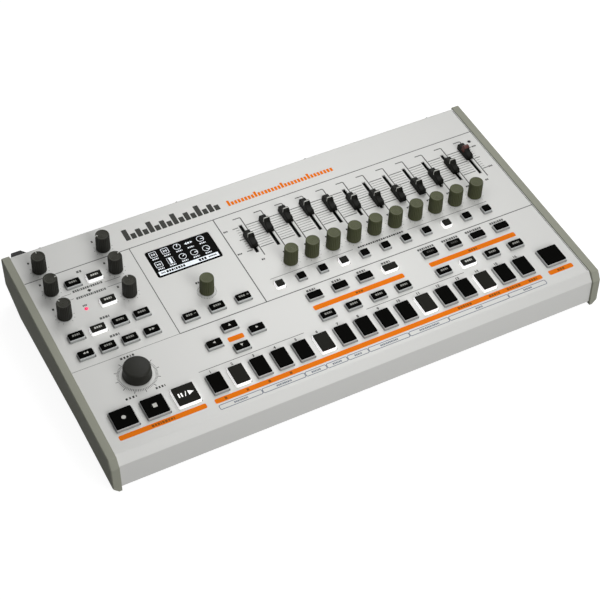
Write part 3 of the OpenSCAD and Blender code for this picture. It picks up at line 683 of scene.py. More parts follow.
@dataclass
class KeyCap:
    """A translucent skirt with a raised black top.

    It leans towards the front left of its window, by as much as it is trimmed at each side.
    The top is wider than the skirt's ledge by spread, and sits forward of its middle.
    """

    width: float
    depth: float
    height: float = 4.2
    ledge: float = 2.7
    rim: float = 0.9
    lean: float = 0.25
    spread: Spot = (0.7, 0.2)
    forward: float = 0.15

    SLOTS = (Finishes.SKIRT, Finishes.SKIRT_LIT, Finishes.KEY_TOP, Finishes.KEY_TOP_LIT,
             Finishes.LEGEND, Finishes.LEGEND_LIT, Finishes.INK_DARK, Finishes.SKIRT_WALL_SHADE,
             Finishes.LEGEND_GREY)

    def add_to(self, shell: Shell, spot: Spot, lit: bool, legend: Legend) -> None:
        """Adds a key at a spot to a bank's shell, lit or not, with a legend on its top."""
        shift = np.array([spot[0] - self.lean, spot[1] - self.lean, 0.0])
        size = np.array([self.width, self.depth]) + 2 * (self.rim - self.lean)
        rim, ledge, height = self.rim, self.ledge, self.height
        skirt = [(0.0, -1.6), (0.0, ledge - 0.4), (0.06, ledge - 0.17), (0.18, ledge - 0.05),
                 (0.36, ledge), (rim + 0.3, ledge)]
        top = [(rim, ledge - 0.2), (rim, height - 0.22), (rim + 0.06, height - 0.07),
               (rim + 0.2, height), (rim + 0.8, height - 0.03)]
        # Unlit, the skirt's wall below the ledge takes slot 7, the darker copy of the skirt:
        # painted shade. Lit, the whole skirt glows.
        shell.tube(capped_loft(*size, rim, skirt) + shift,
                   bands=(1,) * 5 if lit else (7, 0, 0, 0, 0))
        shift = shift - [0.05, self.forward, 0.0]
        shell.tube(capped_loft(*(size + self.spread), rim + 0.5, top) + shift, 3 if lit else 2)
        # Words on lit keys take the white ink in place of the grey: painted backlight.
        grey = legend in (Legend.WORD, Legend.MINUS, Legend.PLUS) and not lit
        ink = {Legend.FAINT: 6, Legend.PLAY: 5}.get(legend, 8 if grey else 4)
        for outline in legend.outlines():
            shell.prism(outline + shift[:2], height - 0.1, height + 0.02, ink)


@dataclass
class KeyBank:
    """Keys that move together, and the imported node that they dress."""

    name: str
    node: str
    body: str
    cap: KeyCap
    places: Sequence[Spot]
    lit: Sequence[int] = ()
    legends: Sequence[Legend] = ()

    def build(self, panel: Panel) -> None:
        """Builds the bank as one piece and seats it on its body."""
        shell = Shell(*KeyCap.SLOTS)
        legends = [*self.legends, *[Legend.NONE] * len(self.places)]
        for i, spot in enumerate(self.places):
            self.cap.add_to(shell, spot, i in self.lit, legends[i])
        shell.build(self.name, panel.world, self.body, self.node, "key_plastic")


# ---- knobs ----


def shaft(lift: float) -> Array:
    """The plated shaft under a knob, up to a millimetre inside it."""
    return lathe([(3.0, -2.0), (3.0, lift + 1.0)], 20)


@dataclass
class FlutedKnob:
    """A tall knob with fine flutes and a sunk, grooved top."""

    diameter: float = 13.8
    top_diameter: float = 13.4
    height: float = 18.2
    lift: float = 0.8
    flutes: int = 24
    flute_depth: float = 0.42
    samples: int = 8
    grooves: int = 3
    pointer_half: float = 0.42

    def rings(self) -> Array:
        """Surface of the knob.

        At angle a and height z the radius is the straight taper R(z) less the flute depth
        times the 1.5th power of half of 1 + cos(flutes * a), faded in above the smooth
        foot and out below the top edge. Square grooves are turned in the sunk top.
        """
        count = self.flutes * self.samples
        around = np.arange(count) * 2 * math.pi / count
        foot, top, h = self.diameter / 2, self.top_diameter / 2, self.height
        groove = 2.0 + (top - 2.4) * np.arange(4 * self.grooves) / (4 * self.grooves)
        cut = np.tile([0.3, 0.65, 0.65, 0.3], self.grooves)
        level = np.array([0.0, 0.0, 0.25, 1.2, 1.5, 1.9, h / 2, h - 1.0, h - 0.5, h - 0.2, h, h,
                          h - 0.12, h - 0.3, *(h - cut), h - 0.3])
        inset = np.array([2.5, 0.25, 0.0, 0.0, 0.0, 0.0, 0.0, 0.0, 0.05, 0.16, 0.45, 1.2,
                          1.45, 1.6, *groove, top - 0.05])
        fade = np.zeros(len(level))
        fade[4:10] = (0.5, 1, 1, 1, 0.8, 0.4)
        taper = foot + (top - foot) * np.clip(level / h, 0.0, 1.0)
        wave = np.sqrt(np.maximum(0.0, 0.5 + 0.5 * np.cos(self.flutes * around)))
        radius = (taper - inset)[:, None] - (fade * self.flute_depth)[:, None] * wave[None] ** 3
        flat = radius[..., None] * arc(around)[None]
        height = np.broadcast_to((level + self.lift)[:, None, None], (*radius.shape, 1))
        return np.concatenate([flat, height], axis=-1)

    def build(self, name: str, node: str, body: str, plastic: Finishes, face: Finishes,
              place: Place, pointer: float | None = None) -> None:
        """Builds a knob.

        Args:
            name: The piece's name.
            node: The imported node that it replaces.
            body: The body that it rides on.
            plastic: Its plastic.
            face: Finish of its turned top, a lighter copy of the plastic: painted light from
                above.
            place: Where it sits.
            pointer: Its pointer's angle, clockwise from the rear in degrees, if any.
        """
        shell = Shell(plastic, Finishes.LEGEND, Finishes.NICKEL, face)
        rings = self.rings()
        # From the top edge inward the knob takes the face finish, lighter than the fluted sides:
        # painted light from above.
        shell.tube(rings, bands=[0] * 10 + [3] * (len(rings) - 11))
        shell.tube(shaft(self.lift), 2)
        if pointer is not None:
            top, edge, half = self.top_diameter / 2, self.height + self.lift, self.pointer_half
            for inner, outer, low, high in ((2.4, 0.02, 0.5, -0.03), (0.3, -0.04, 1.5, 0.18)):
                mark = np.array([[-half, top - inner], [half, top - inner],
                                 [half, top - outer], [-half, top - outer]])
                shell.prism(mark @ swing(-pointer), edge - low, edge - high, 1)
        shell.build(name, place, body, node, sharp=50.0)


@dataclass
class TempoKnob:
    """The large smooth knob: a conical body, a round shoulder and a low dome."""

    diameter: float = 26.3
    top_diameter: float = 24.8
    height: float = 12.0
    shoulder: float = 2.2
    rise: float = 0.9
    lift: float = 0.8

    def build(self, place: Place) -> None:
        """Builds the knob: the shoulder is a quarter circle, and the top a parabola."""
        turn = np.linspace(0, math.pi / 2, 9)
        foot, edge = self.diameter / 2, self.top_diameter / 2
        round_r = edge - self.shoulder * (1 - np.cos(turn))
        round_h = self.height - self.shoulder * (1 - np.sin(turn))
        share = np.linspace(0.12, 1.0, 8)
        top_r = (edge - self.shoulder) * (1 - share) + 0.05
        top_h = self.height + self.rise * (1 - (1 - share) ** 2)
        rings = lathe([(foot - 3.0, 0.0), (foot - 0.4, 0.0), (foot - 0.1, 0.12), (foot, 0.4),
                       (foot, 1.5), (foot - 0.12, 1.8), *zip(round_r, round_h),
                       *zip(top_r, top_h)], 96)
        rings[..., 2] += self.lift
        shell = Shell(Finishes.KNOB_BLACK, Finishes.NICKEL)
        shell.tube(rings)
        shell.tube(shaft(self.lift), 1)
        shell.build("tempo_knob_cap", place, "tempo_encoder", "tempo_knob", sharp=50.0)


# ---- faders ----


@dataclass
class FaderCap:
    """A saddle-shaped cap with a tall ridge, on its lever."""

    length: float = 19.8
    foot_width: float = 7.6
    ridge_width: float = 5.6
    foot: float = 0.7
    ridge: float = 11.4
    wing: float = 7.2
    wing_end: float = 6.2
    crest: float = 1.3
    dip: float = 4.2
    nose: float = 1.1

    def height_at(self, y: Array) -> Array:
        """Height of the cap's top at a distance y from the ridge.

        The crest is flat, each flank falls along half a cosine, the wing slopes straight,
        and its last millimetre rounds off along a quarter circle.
        """
        far, half = np.abs(y), self.length / 2
        flank = np.clip((far - self.crest) / (self.dip - self.crest), 0, 1) ** 0.8
        fall = self.wing + (self.ridge - self.wing) * (1 + np.cos(math.pi * flank)) / 2
        slope = (self.wing - self.wing_end) * np.clip((far - self.dip) / (half - self.dip), 0, 1)
        end = np.clip((far - half + self.nose) / self.nose, 0, 1)
        crown = 0.12 * np.clip(far / self.crest, 0, 1) ** 2
        return fall - slope - crown - 1.2 * (1 - np.sqrt(1 - 0.96 * end ** 2))

    def half_width_at(self, n: Array) -> Array:
        """Half width at a height: it narrows from the foot, then more slowly to the ridge."""
        wing_width = self.ridge_width + 0.3 * (self.foot_width - self.ridge_width)
        levels = (self.foot, self.wing_end, self.ridge)
        return np.interp(n, levels, (self.foot_width, wing_width, self.ridge_width)) / 2

    def rings(self) -> Array:
        """Surface of the cap: one cross-section for each y, with rounded upper edges."""
        half = self.length / 2
        flank = np.concatenate([
            np.linspace(self.crest, self.dip, 9), np.linspace(self.dip, half - self.nose, 4),
            half - self.nose * np.array([0.7, 0.45, 0.25, 0.1, 0.0])])
        crest = np.linspace(-self.crest, self.crest, 5)
        y = np.unique(np.concatenate([crest, flank, -flank]).round(4))
        share = np.array([0.0, 0.3, 0.6, 0.85, 1.0, 1.0, 1.0, 1.0, 1.0, 0.85, 0.6, 0.3, 0.0])
        drop = np.array([0, 0, 0, 0, -0.5, -0.12, 0, -0.12, -0.5, 0, 0, 0, 0])
        inset = np.array([0, 0, 0, 0, 0.03, 0.28, 9.0, 0.28, 0.03, 0, 0, 0, 0])
        side = np.array([1, 1, 1, 1, 1, 1, 0, -1, -1, -1, -1, -1, -1])
        level = self.foot + (self.height_at(y)[:, None] - self.foot) * share + drop
        end = np.clip((np.abs(y) - half + 1.2) / 1.2, 0, 1)[:, None]
        width = (self.half_width_at(level) - inset) * (1 - 0.12 * end ** 2)
        return np.stack([-side * width, np.broadcast_to(y[:, None], width.shape), level], axis=-1)

    def stripe(self) -> Array:
        """Indicator line up the left side, over the ridge and a little down the right.

        Its rings are flat rectangles square to the line's path.
        """
        left = np.array([self.wing - 0.6, self.wing + 1.5, self.ridge - 0.55])
        right = np.array([self.ridge - 0.55, self.ridge - 1.9])
        w = self.half_width_at(np.array([self.ridge]))[0]
        over = np.array([[-w + 0.25, self.ridge - 0.05], [w - 0.25, self.ridge - 0.05]])
        path = np.concatenate([np.column_stack([-self.half_width_at(left), left]), over,
                               np.column_stack([self.half_width_at(right), right])])
        step = np.gradient(path, axis=0)
        step /= np.linalg.norm(step, axis=1, keepdims=True)
        out = np.column_stack([-step[:, 1], step[:, 0]])
        rings = []
        for lift, y in ((0.07, -0.48), (0.07, 0.48), (-0.15, 0.48), (-0.15, -0.48)):
            x, n = (path + lift * out).T
            rings.append(np.column_stack([x, np.full(len(path), y), n]))
        return np.stack(rings, axis=1)

    def build(self, number: int, place: Place, red: bool) -> None:
        """Builds one fader where it rests; the red one has a red ridge and no line."""
        shell = Shell(Finishes.FADER, Finishes.LEGEND, Finishes.FADER_RED, Finishes.NICKEL)
        saddle = self.rings()
        shell.tube(saddle)
        shell.prism(rounded_rect(1.2, 5.0, 0.2), -9.0, self.foot + 0.6, 3)
        if red:
            near = np.abs(saddle[:, 0, 1]) <= 2.4
            lifted = saddle[near] * [1.02, 1.0, 1.0] + [0.0, 0.0, 0.05]
            lifted[..., 2] = np.maximum(lifted[..., 2], self.wing_end - 1.0)
            shell.tube(lifted, 2)
        else:
            shell.tube(self.stripe(), 1)
        shell.build(f"fader_cap_{number}", place, f"slider_{number}", f"fader_{number}",
                    sharp=40.0)


# ---- print ----


@dataclass
class PanelPrint:
    """Lines, scales, strips and figures printed on the panel, as thin films of ink."""

    panel: Panel
    layout: Layout
    low: float = -0.05
    high: float = 0.03
    shell: Shell = field(default_factory=lambda: Shell(
        Finishes.INK, Finishes.INK_DARK, Finishes.INK_PALE, Finishes.INK_ORANGE,
        Finishes.INK_BROWN))

    def line(self, points: Sequence[Spot], width: float, slot: int = 0,
             closed: bool = False) -> None:
        """Prints a line of one width through the points."""
        path = np.array(points, dtype=float)
        self.shell.ribbon(path, width, self.low, self.high, slot, closed)

    def patch(self, outline: Array, x: float, s: float, slot: int) -> None:
        """Prints a filled outline with its origin at x and s."""
        self.shell.prism(outline + [x, s], self.low, self.high, slot)

    def word(self, spot: Spot, count: int, slot: int = 1, width: float = 1.7, height: float = 2.3,
             gap: float = 0.3) -> None:
        """Prints a row of blocks where the machine has a word."""
        for block in blocks(count, width, height, gap):
            self.patch(block, *spot, slot)

    def ticks(self, spot: Spot, radii: Spot, angles: Array, width: float,
              slot: int = 0) -> None:
        """Prints radial ticks at clockwise angles from the rear, in degrees."""
        for direction in arc(math.pi / 2 - np.radians(angles)):
            self.line([direction * r + spot for r in radii], width, slot)

    def frames(self) -> None:
        """The lines that part the panel into blocks, and a dark line of painted shade along the
        cover's right edge, where the cheek stands above it.
        """
        for x0, s0, x1, s1, width, slot in (
                (-0.4, 211.8, 478.4, 211.8, 0.85, 0), (103.1, 96.8, 478.4, 96.8, 0.9, 0),
                (-0.4, 96.8, 103.1, 96.8, 0.4, 0), (103.1, 96.8, 103.1, 211.8, 0.8, 0),
                (189.7, 96.8, 189.7, 211.8, 1.05, 0), (99.3, 49.4, 203.0, 49.4, 0.58, 0),
                # At x 477.75, in slot 1, a dark line of painted shade: the gap between the cover
                # and the right cheek.
                (267.5, 49.4, 371.3, 49.4, 0.58, 0), (477.75, 1.0, 477.75, 246.0, 0.5, 1),
                (204.8, 120.0, 292.0, 120.0, 0.45, 0), (351.5, 120.0, 440.0, 120.0, 0.45, 0)):
            self.line([(x0, s0), (x1, s1)], width, slot)
        self.word((321.8, 120.0), 22, 1, 2.0, 2.0)

    def scales(self) -> None:
        """Ladders between the faders, their brackets and the scales at both ends."""
        pitch, voices = self.layout.voice_pitch, self.layout.voices(0, 12, 160.6)
        for i, (x, floor) in enumerate(voices):
            first, last = i == 0, i == len(voices) - 1
            for k in range(11):
                s, bold = floor + 3.14 * k, k % 5 == 0
                far = 9.0 if bold else 6.5
                spans = [] if last else [(x + 5.4, x + pitch - 3.0)]
                if first or last:
                    spans.append((x - far, x - 3.0) if first else (x + 5.4, x + 2.4 + far))
                for x0, x1 in spans:
                    self.line([(x0, s), (x1, s)], 0.95 if bold else 0.46)
            bend = arc(np.radians(np.linspace(90, 0, 6))) * 1.2 + [x + 3.2, 202.4]
            stop = 150.0 if first or last else 141.0
            self.line([(x - 3.4, 203.6), *bend, (x + 4.4, stop)], 1.1)
            self.word((x + 0.6, 145.6), 2, 1, 1.5, 2.1)
        for x in (193.6, 470.0):
            for s in (192.0, 160.6):
                self.word((x, s), 3, 1, 1.3, 1.8)

    def dials(self) -> None:
        """Tick rings round the knobs."""
        sweep = np.linspace(-150, 150, 11)
        for x, s in self.layout.effect_knobs():
            self.ticks((x, s), (8.3, 9.2), sweep, 0.5)
            self.word((x - 6.6, s + 12.3), 1, 1, 1.7, 2.4)
        x, s = self.layout.data
        self.ticks((x, s), (8.0, 9.3), np.arange(0, 360, 10.0), 0.42, 1)
        self.word((x - 3.6, s + 13.1), 2, 1, 1.7, 2.4)
        for spot in self.layout.voices(1, 10, self.layout.voice_knob_row):
            self.ticks(spot, (8.2, 9.0), sweep, 0.42)
        tempo = self.layout.tempo
        self.ticks(tempo, (15.8, 18.2), np.arange(0, 360, 5.0), 0.42, 1)
        self.ticks(tempo, (17.2, 20.6), np.arange(0, 360, 30.0), 0.55, 1)
        for x, s, count, width, gap in ((50.0, 92.9, 5, 2.0, 0.62), (35.3, 49.6, 4, 1.9, 0.75),
                                        (62.9, 49.6, 4, 1.8, 0.6)):
            self.word((x, s), count, 1, width, 2.3, gap)

    def strips(self) -> None:
        """Orange strips, the orange pad between the arrows, and the boxes under the keys."""
        keys, functions = (11.1, 16.4), (68.2, 73.8)
        for x0, x1, (s0, s1) in ((8.75, 90.3, keys), (98.3, 434.8, keys), (442.8, 469.4, keys),
                                 (224.6, 319.2, functions), (347.2, 441.7, functions),
                                 (138.3, 153.7, functions)):
            strip = rounded_rect(x1 - x0, s1 - s0, 1.5)
            self.patch(strip, (x0 + x1) / 2, (s0 + s1) / 2, 3)
        first = row(self.layout.step_x + 0.2, self.layout.step_pitch, 4, 13.75)
        for x, s, count in ((49.6, 13.75, 9), *((x, s, 1) for x, s in first),
                            (350.7, 13.75, 6), (382.7, 13.75, 5), (403.7, 13.75, 6),
                            (424.9, 13.75, 4), (456.1, 13.75, 3), (272.0, 71.0, 3),
                            (394.4, 71.0, 4)):
            for block in blocks(count, 2.2, 2.5):
                self.shell.prism(block + [x, s], self.high - 0.03, self.high + 0.02, 4)
        middle, box_height = 6.42, 4.95
        bounds = (98.9, 140.4, 182.4, 203.6, 224.6, 245.9, 287.9, 329.6, 393.6, 435.0)
        letters = (9, 10, 6, 6, 5, 12, 14, 5, 6)
        for x0, x1, count in zip(bounds[:-1], bounds[1:], letters):
            x = (x0 + x1) / 2
            box = rounded_rect(x1 - x0 - 0.8, box_height, 1.2) + [x, middle]
            self.line(box, 0.68, 2, closed=True)
            self.word((x, middle), count, 2, 1.35, 1.9)

    def labels(self) -> None:
        """Marks over the buttons, and the numbers of the step keys."""
        left, right = self.layout.function_x
        for i in range(4):
            reach = self.layout.button_pitch * i
            self.word((left + reach, 92.2), 4, 0, 2.2, 2.5)
            self.word((right + reach, 92.2), 8 if i < 3 else 7, 0, 1.95, 2.5)
        for s, count in ((205.3, 2), (144.0, 4), (120.7, 4)):
            self.word((50.0, s), count, 0, 2.2, 2.7)
        for s, dash in ((184.3, 183.1), (175.4, 176.3)):
            self.word((50.0, s), 15, 0, 1.75, 2.7)
            for x0, x1 in ((24.0, 33.5), (66.5, 82.0)):
                self.line([(x0, dash), (x1, dash)], 0.45)
        diamond = np.array([[2.0, 0.0], [0.0, 2.0], [-2.0, 0.0], [0.0, -2.0]])
        self.patch(diamond, 50.0, 179.9, 1)
        self.word((39.4, 164.6), 3, 1, 1.2, 1.8)
        for i, spot in enumerate(row(self.layout.step_x, self.layout.step_pitch, 16, 45.5)):
            points, faces = lettering(str(i + 1), 4.0)
            self.shell.add(points * [1, 1, 0.8] + [*spot, 0.0], faces, 1)

    def heading(self) -> None:
        """A plain row of beat blocks, and a finer orange row beside it."""
        foot = 221.7
        for i in range(16):
            tall = (14.6, 7.0, 10.6, 7.0)[i % 4]
            self.patch(rounded_rect(5.0, tall, 0.4), 107.5 + 6.2 * i, foot + tall / 2, 1)
            for k in range(2):
                tall = 7.4 if i % 4 == 0 and k == 0 else 4.8
                dash = rounded_rect(2.6, tall, 0.3)
                self.patch(dash, 212.9 + 3.6 * (2 * i + k), foot + tall / 2, 3)

    def build(self) -> None:
        """Prints everything and seats it on the cover."""
        for part in (self.frames, self.scales, self.dials, self.strips, self.labels, self.heading):
            part()
        self.shell.build("panel_print", self.panel.world, sharp=30.0)


# ---- display ----


class Symbol(Enum):
    """What one place of the display shows."""

    BOX = auto()
    METER = auto()
    DIAL = auto()
    ARROW = auto()


@dataclass
class Display:
    """Black window with lit symbols: boxes, small dials and a status bar."""

    width: float = 65.4
    depth: float = 34.4
    radius: float = 2.0
    lip: float = 2.3
    columns: tuple[float, ...] = (-26.1, -14.1, -1.8, 9.9, 22.2)
    rows: tuple[float, ...] = (11.7, -1.7)
    bar: float = -12.9
    low: float = 0.1
    high: float = 0.24
    stroke: float = 0.52
    shell: Shell = field(
        default_factory=lambda: Shell(Finishes.GLASS, Finishes.PIXEL, Finishes.GLASS))

    def fill(self, outline: Array) -> None:
        """Lights a filled outline."""
        self.shell.prism(outline, self.low, self.high, 1)

    def draw(self, path: Array, width: float, closed: bool = True) -> None:
        """Lights a line."""
        self.shell.ribbon(path, width, self.low, self.high, 1, closed)

    def symbol(self, kind: Symbol, spot: Spot, turn: float) -> None:
        """Draws a symbol at a spot; turn is the clockwise angle of a dial's hand."""
        match kind:
            case Symbol.DIAL:
                self.draw(circle(3.4, 28) + spot, self.stroke)
                tip = 3.1 * arc(math.radians(90.0 - turn))
                self.draw(np.array([spot, spot + tip]), 0.75, closed=False)
            case Symbol.BOX:
                self.draw(rounded_rect(6.6, 6.6, 0.5, 3) + spot, self.stroke)
                for x, tall in ((-1.3, 2.8), (0.1, 1.8), (1.4, 2.8)):
                    self.fill(rounded_rect(0.7, tall, 0.1) + [spot[0] + x, spot[1]])
            case Symbol.METER:
                self.draw(rounded_rect(6.0, 7.6, 0.2) + spot, 0.35)
                self.fill(rounded_rect(2.4, 7.0, 0.2) + spot)
            case Symbol.ARROW:
                for tip, tail, tall in ((-4.2, -1.6, -1.7), (4.2, 1.9, 1.5)):
                    self.fill(np.array([[tip, 0.0], [tail, tall], [tail, -tall]]) + spot)
                self.fill(rounded_rect(2.0, 2.2, 0.2) + spot)

    def build(self, panel: Panel, layout: Layout) -> None:
        """Builds the window with its lip under the cover, and its symbols."""
        glass = [(-self.lip, -2.5), (-self.lip, -1.55), (0.0, -1.5), (0.0, -0.1), (0.15, 0.12),
                 (0.4, 0.2), (2.0, 0.2)]
        self.shell.tube(capped_loft(self.width, self.depth, self.radius, glass))
        kinds = ((Symbol.BOX, Symbol.BOX, Symbol.DIAL, Symbol.ARROW, Symbol.DIAL),
                 (Symbol.BOX, Symbol.METER, Symbol.DIAL, Symbol.DIAL, Symbol.DIAL))
        for i, s in enumerate(self.rows):
            for k, x in enumerate(self.columns):
                self.symbol(kinds[i][k], (x, s), -60.0 + 40.0 * k + 35.0 * i)
                for block in blocks(4, 1.35, 1.55, 0.45):
                    self.fill(block + [x, s - 5.9])
        self.fill(rounded_rect(60.6, 5.0, 0.3) + [-0.3, self.bar])
        for x, count, size in ((-26.4, 3, 1.2), (-13.8, 8, 2.1), (13.5, 3, 2.3), (23.7, 6, 1.2)):
            for block in blocks(count, size, 1.3 * size):
                self.shell.prism(block + [x, self.bar], self.high, self.high + 0.01, 2)
        self.shell.build("display_glass", panel.at(layout.glass), node="display_window",
                         slot="display_glass")


# ---- lamps, screws and sockets ----


def lamp(name: str, finish: Finishes, place: Place, radius: float) -> None:
    """Builds a small lamp with a domed top, whose radius falls as a cosine."""
    turn = np.linspace(0, math.pi / 2 - 0.03, 7)
    dome = zip(radius * np.cos(turn), 0.1 + 0.8 * np.sin(turn))
    shell = Shell(finish)
    shell.tube(lathe([(radius, -3.0), *dome], 24))
    shell.build(name, place)


class Facing(Enum):
    """Rows of the turn that takes +z to a side of the machine."""

    REAR = ((1, 0, 0), (0, 0, -1), (0, 1, 0))
    DOWN = ((1, 0, 0), (0, -1, 0), (0, 0, -1))

    def turn(self, rings: Array, spot: Sequence[float]) -> Array:
        """Turns rings from +z to this side, and moves their origin to the spot."""
        return rings @ np.array(self.value, dtype=float) + np.asarray(spot, dtype=float)


@dataclass
class Screw:
    """Pan-head screw with a hexagonal socket."""

    radius: float = 2.6
    height: float = 1.5

    def rings(self) -> Array:
        """Surface of the head.

        Outside it is a dome of circles. Inside, at angle a, the radius is the socket's
        flat over the cosine of a folded into one sixth of a turn.
        """
        around = np.arange(24) * math.pi / 12
        socket = 0.42 * self.radius / np.cos(np.mod(around, math.pi / 3) - math.pi / 6)
        dome = [(1.0, 0.0), (1.0, 0.3), (0.94, 0.6), (0.8, 0.88), (0.62, 1.0)]
        hole = [(1.06, 1.0), (1.0, 0.92), (1.0, 0.3), (0.05, 0.25)]
        rings = [raised(self.radius * r * arc(around), self.height * h) for r, h in dome]
        rings += [raised(r * socket[:, None] * arc(around), self.height * h) for r, h in hole]
        return np.stack(rings)


def fixings() -> None:
    """Builds the screws of the rear flange, the front flange and the feet as one piece."""
    floor, foot_seat, foot_radius, proud = 4.0, 2.5, 9.0, 0.02
    cover_low, cover_high = (np.array(corner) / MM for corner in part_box("top_cover"))
    foot_low, foot_high = (np.array(corner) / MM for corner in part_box("feet"))
    shell = Shell(Finishes.SCREW)
    for x in (-210.0, -70.0, 70.0, 210.0):
        spot = (x, cover_high[1] - proud, cover_high[2] - 2.6)
        shell.tube(Facing.REAR.turn(Screw(1.8, 0.6).rings(), spot))
    for x in (-200.0, -100.0, 0.0, 100.0, 200.0):
        shell.tube(Facing.DOWN.turn(Screw().rings(), (x, cover_low[1] + 8.0, floor + proud)))
    for x in (foot_low[0] + foot_radius, foot_high[0] - foot_radius):
        for y in (foot_low[1] + foot_radius, foot_high[1] - foot_radius):
            shell.tube(Facing.DOWN.turn(Screw(2.6, 1.4).rings(), (x, y, foot_seat + proud)))
    shell.build("housing_screws", lambda points: points * MM, sharp=40.0)


def rear_sockets(node: bpy.types.Object) -> None:
    """Copies the rear board, merges its corners and dresses it by where each face lies."""
    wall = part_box("cable_hook")[0][1] / MM
    board_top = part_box("rear_board")[0][2] / MM + 1.6
    mesh = node.data.copy()
    mesh.name = "rear_sockets"
    work = bmesh.new()
    work.from_mesh(mesh)
    bmesh.ops.remove_doubles(work, verts=work.verts, dist=1e-6)
    work.to_mesh(mesh)
    work.free()
    coat(mesh, Finishes.PART, Finishes.BOARD, Finishes.NICKEL)
    centre = np.empty(len(mesh.polygons) * 3)
    mesh.polygons.foreach_get("center", centre)
    x, y, z = centre.reshape(-1, 3).T / MM
    jacks = 16.0 + 34.0 * np.arange(6)
    plated = (np.min(np.abs(x[:, None] - jacks), axis=1) < 7.0) & (y > wall - 0.4)
    plated |= (np.abs(x + 142.0) < 7.0) & (z > board_top + 0.2)
    plated |= (np.abs(x + 172.0) < 1.2) & (y > wall - 12.0)
    slots = np.where(plated, 2, np.where(z < board_top + 0.01, 1, 0))
    mesh.polygons.foreach_set("material_index", slots.astype(np.int32))
    mesh.update()
    LOG.info("%s: %d faces", mesh.name, len(mesh.polygons))
    seat(link("rear_sockets", mesh), "housing", node["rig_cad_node"])


# ---- studio ----


@dataclass(frozen=True)
class Studio:
    """Camera, soft lights, pale floor and white surroundings."""

    camera_at: tuple[float, float, float] = (-0.48570, -0.93327, 1.06156)
    looks_at: tuple[float, float, float] = (-0.00911, -0.01668, 0.020)
    lens: float = 93.95
    ambient: float = 0.06
    floor_reach: float = 12.0
    floor_tone: float = 0.24
    floor_light: float = 0.93

    def build(self) -> None:
        """Builds the studio and sets the view."""
        scene = bpy.context.scene
        scene.view_settings.view_transform = "Standard"
        view = bpy.data.cameras.new("view")
        view.lens = self.lens
        view.sensor_width = 36.0
        view.clip_start = 0.05
        scene.camera = self._aimed("view", view, self.camera_at, self.looks_at)
        for name, place, size, power in (("key", (0.55, 0.7, 1.1), 0.9, 7.0),
                                         ("fill", (0.2, -1.5, 0.9), 1.0, 17.5),
                                         ("glow", (0.0, -0.03, 0.38), 0.3, 0.46)):
            light = bpy.data.lights.new(name, "AREA")
            light.size = size
            light.energy = power
            self._aimed(name, light, place, (0.0, 0.0, 0.03))
        self._floor()
        self._world(scene)

    @staticmethod
    def _aimed(name: str, data: bpy.types.ID, place: Sequence[float],
               target: Sequence[float]) -> bpy.types.Object:
        """Places a camera or a light, level, so that it faces its target."""
        made = link(name, data)
        made.location = place
        way = Vector(target) - Vector(place)
        made.rotation_euler = way.to_track_quat("-Z", "Y").to_euler()
        return made

    @staticmethod
    def _seen(nodes: Nodes) -> Socket:
        """Adds nodes that give 1 for camera, glossy and transmission rays, and 0 for others."""
        rays = nodes.node("LightPath").outputs
        seen = nodes.calc("MAXIMUM", rays["Is Camera Ray"], rays["Is Glossy Ray"])
        return nodes.calc("MAXIMUM", seen, rays["Is Transmission Ray"])

    def _floor(self) -> None:
        """Lays a pale floor that adds a little light of its own where it is looked at."""
        mesh = bpy.data.meshes.new("floor")
        corners = self.floor_reach * np.array([(-1, -1, 0), (1, -1, 0), (1, 1, 0), (-1, 1, 0)])
        mesh.from_pydata(corners.tolist(), [], [(0, 1, 2, 3)])
        floor = link("floor", mesh)
        tree = ShaderTree("pale floor")
        glow = tree.calc("MULTIPLY", self._seen(tree), self.floor_light)
        tree.feed(tree.shader, {
            "Base Color": (*(self.floor_tone,) * 3, 1.0), "Roughness": 0.9,
            "Specular IOR Level": 0.1, "Emission Color": (1.0, 1.0, 1.0, 1.0),
            "Emission Strength": glow})
        mesh.materials.append(tree.material)

    def _world(self, scene: bpy.types.Scene) -> None:
        """Makes surroundings that are white to look at and dimmer as a light."""
        world = bpy.data.worlds.new("surroundings")
        world.use_nodes = True
        nodes = Nodes(world.node_tree)
        white = (1.0, 1.0, 1.0, 1.0)
        soft = world.node_tree.nodes["Background"]
        nodes.feed(soft, {"Color": white, "Strength": self.ambient})
        seen = nodes.node("Background", {"Color": white, "Strength": 1.0})
        choice = nodes.node("MixShader", {0: self._seen(nodes), 1: soft.outputs[0],
                                          2: seen.outputs[0]})
        nodes.feed(world.node_tree.nodes["World Output"], {"Surface": choice.outputs[0]})
        scene.world = world


# ---- assembling ----


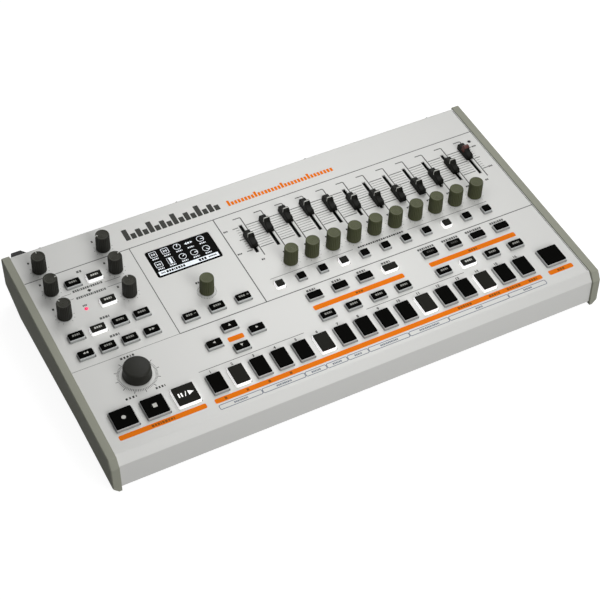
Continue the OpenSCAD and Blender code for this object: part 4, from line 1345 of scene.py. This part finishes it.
@dataclass
class DrumMachine:
    """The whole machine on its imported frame."""

    frame: dict
    layout: Layout = Layout()
    effect_set: tuple[float, ...] = (2, 90, -35, -83, 59, 6)
    fader_set: tuple[float, ...] = (11.2, 22.8, 26.2, 25.9, 21, 13.4, 7.7, 3.7, 4.1, 8.2, 14.8, 26)

    def housing(self) -> None:
        """Dresses the housing: the nodes that keep their shape, the sockets and the screws."""
        plain = {"top_cover": Finishes.COVER, "bottom_tray": Finishes.TRAY,
                 "left_cheek": Finishes.CHEEK, "right_cheek": Finishes.CHEEK,
                 "feet": Finishes.RUBBER, "cable_hook": Finishes.HOOK,
                 "power_switch": Finishes.HOOK, "control_board": Finishes.PART}
        for node, finish in plain.items():
            coat(self.frame["nodes"][node].data, finish)
        rear_sockets(self.frame["nodes"]["rear_board"])
        fixings()

    def keys(self, panel: Panel) -> None:
        """Builds the step keys and the four button banks."""
        layout = self.layout
        step = KeyCap(13.1, 20.2)
        for i, spot in enumerate(row(layout.step_x, layout.step_pitch, 16, layout.key_row), 1):
            lit = (0,) if i in (2, 6, 11, 14) else ()
            KeyBank(f"step_key_cap_{i}", f"step_key_{i}", f"step_{i}", step, [spot],
                    lit).build(panel)
        word, faint, none = Legend.WORD, Legend.FAINT, Legend.NONE
        left = (*(word,) * 7, Legend.BACK, word, word, Legend.FORWARD, Legend.MINUS, word,
                Legend.PLUS, Legend.LEFT, Legend.RIGHT, Legend.DOWN, Legend.UP)
        right = (none,) * 4 + (word,) * 4 + (faint, faint, none, none) + (word,) * 4
        pads = [(x, layout.key_row) for x in layout.pad_x]
        for name, node, body, cap, places, lit, legends in (
                ("transport_pad_caps", "transport_pads", "transport_bank", KeyCap(20.0, 20.0),
                 pads, (2,), (Legend.RECORD, Legend.STOP, Legend.PLAY)),
                ("select_button_caps", "select_buttons", "select_bank", KeyCap(7.3, 7.3),
                 layout.voices(0, 11, layout.select_row), (0, 3, 8), ()),
                ("left_button_caps", "left_buttons", "left_bank",
                 KeyCap(13.5, 7.3, forward=-0.2), layout.left_buttons(), (1, 2, 4), left),
                ("right_button_caps", "right_buttons", "right_bank", KeyCap(13.5, 7.3),
                 layout.right_buttons(), (3, 13), right)):
            KeyBank(name, node, body, cap, places, lit, legends).build(panel)

    def knobs(self, panel: Panel) -> None:
        """Builds every knob."""
        knob, layout = FlutedKnob(), self.layout
        for i, (spot, turn) in enumerate(zip(layout.effect_knobs(), self.effect_set), 1):
            knob.build(f"effect_cap_{i}", f"effect_knob_{i}", f"effect_pot_{i}",
                       Finishes.KNOB_BLACK, Finishes.BLACK_TOP_PAINTED_LIGHT, panel.at(spot), turn)
        olive = (Finishes.KNOB_OLIVE, Finishes.OLIVE_TOP_PAINTED_LIGHT)
        for i, spot in enumerate(layout.voices(1, 10, layout.voice_knob_row), 1):
            knob.build(f"voice_cap_{i}", f"voice_knob_{i}", f"voice_encoder_{i}", *olive,
                       panel.at(spot))
        knob.build("data_cap", "data_knob", "data_encoder", *olive, panel.at(layout.data))
        TempoKnob().build(panel.at(layout.tempo))

    def faders(self, panel: Panel) -> None:
        """Builds the faders where they rest."""
        low = self.layout.fader_row - self.layout.fader_travel / 2
        voices = self.layout.voices(0, 12, low)
        for i, ((x, s), rest) in enumerate(zip(voices, self.fader_set), 1):
            FaderCap().build(i, panel.at((x, s + rest)), i == len(voices))

    def build(self) -> None:
        """Builds the machine, sub-assembly by sub-assembly."""
        panel = Panel.from_joints(self.frame["joints"], self.layout.tempo)
        self.housing()
        self.keys(panel)
        self.knobs(panel)
        self.faders(panel)
        PanelPrint(panel, self.layout).build()
        Display().build(panel, self.layout)
        lamp("signal_lamp", Finishes.LAMP_RED, panel.at(self.layout.signal_lamp), 1.75)
        lamp("accent_lamp", Finishes.LAMP_OFF, panel.at(self.layout.accent_lamp), 1.5)


def main() -> None:
    """Loads the frame, builds the machine and its studio."""
    logging.basicConfig(level=logging.INFO, format="%(name)s %(message)s")
    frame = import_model()
    DrumMachine(frame).build()
    Studio().build()


if __name__ == "__main__":
    main()
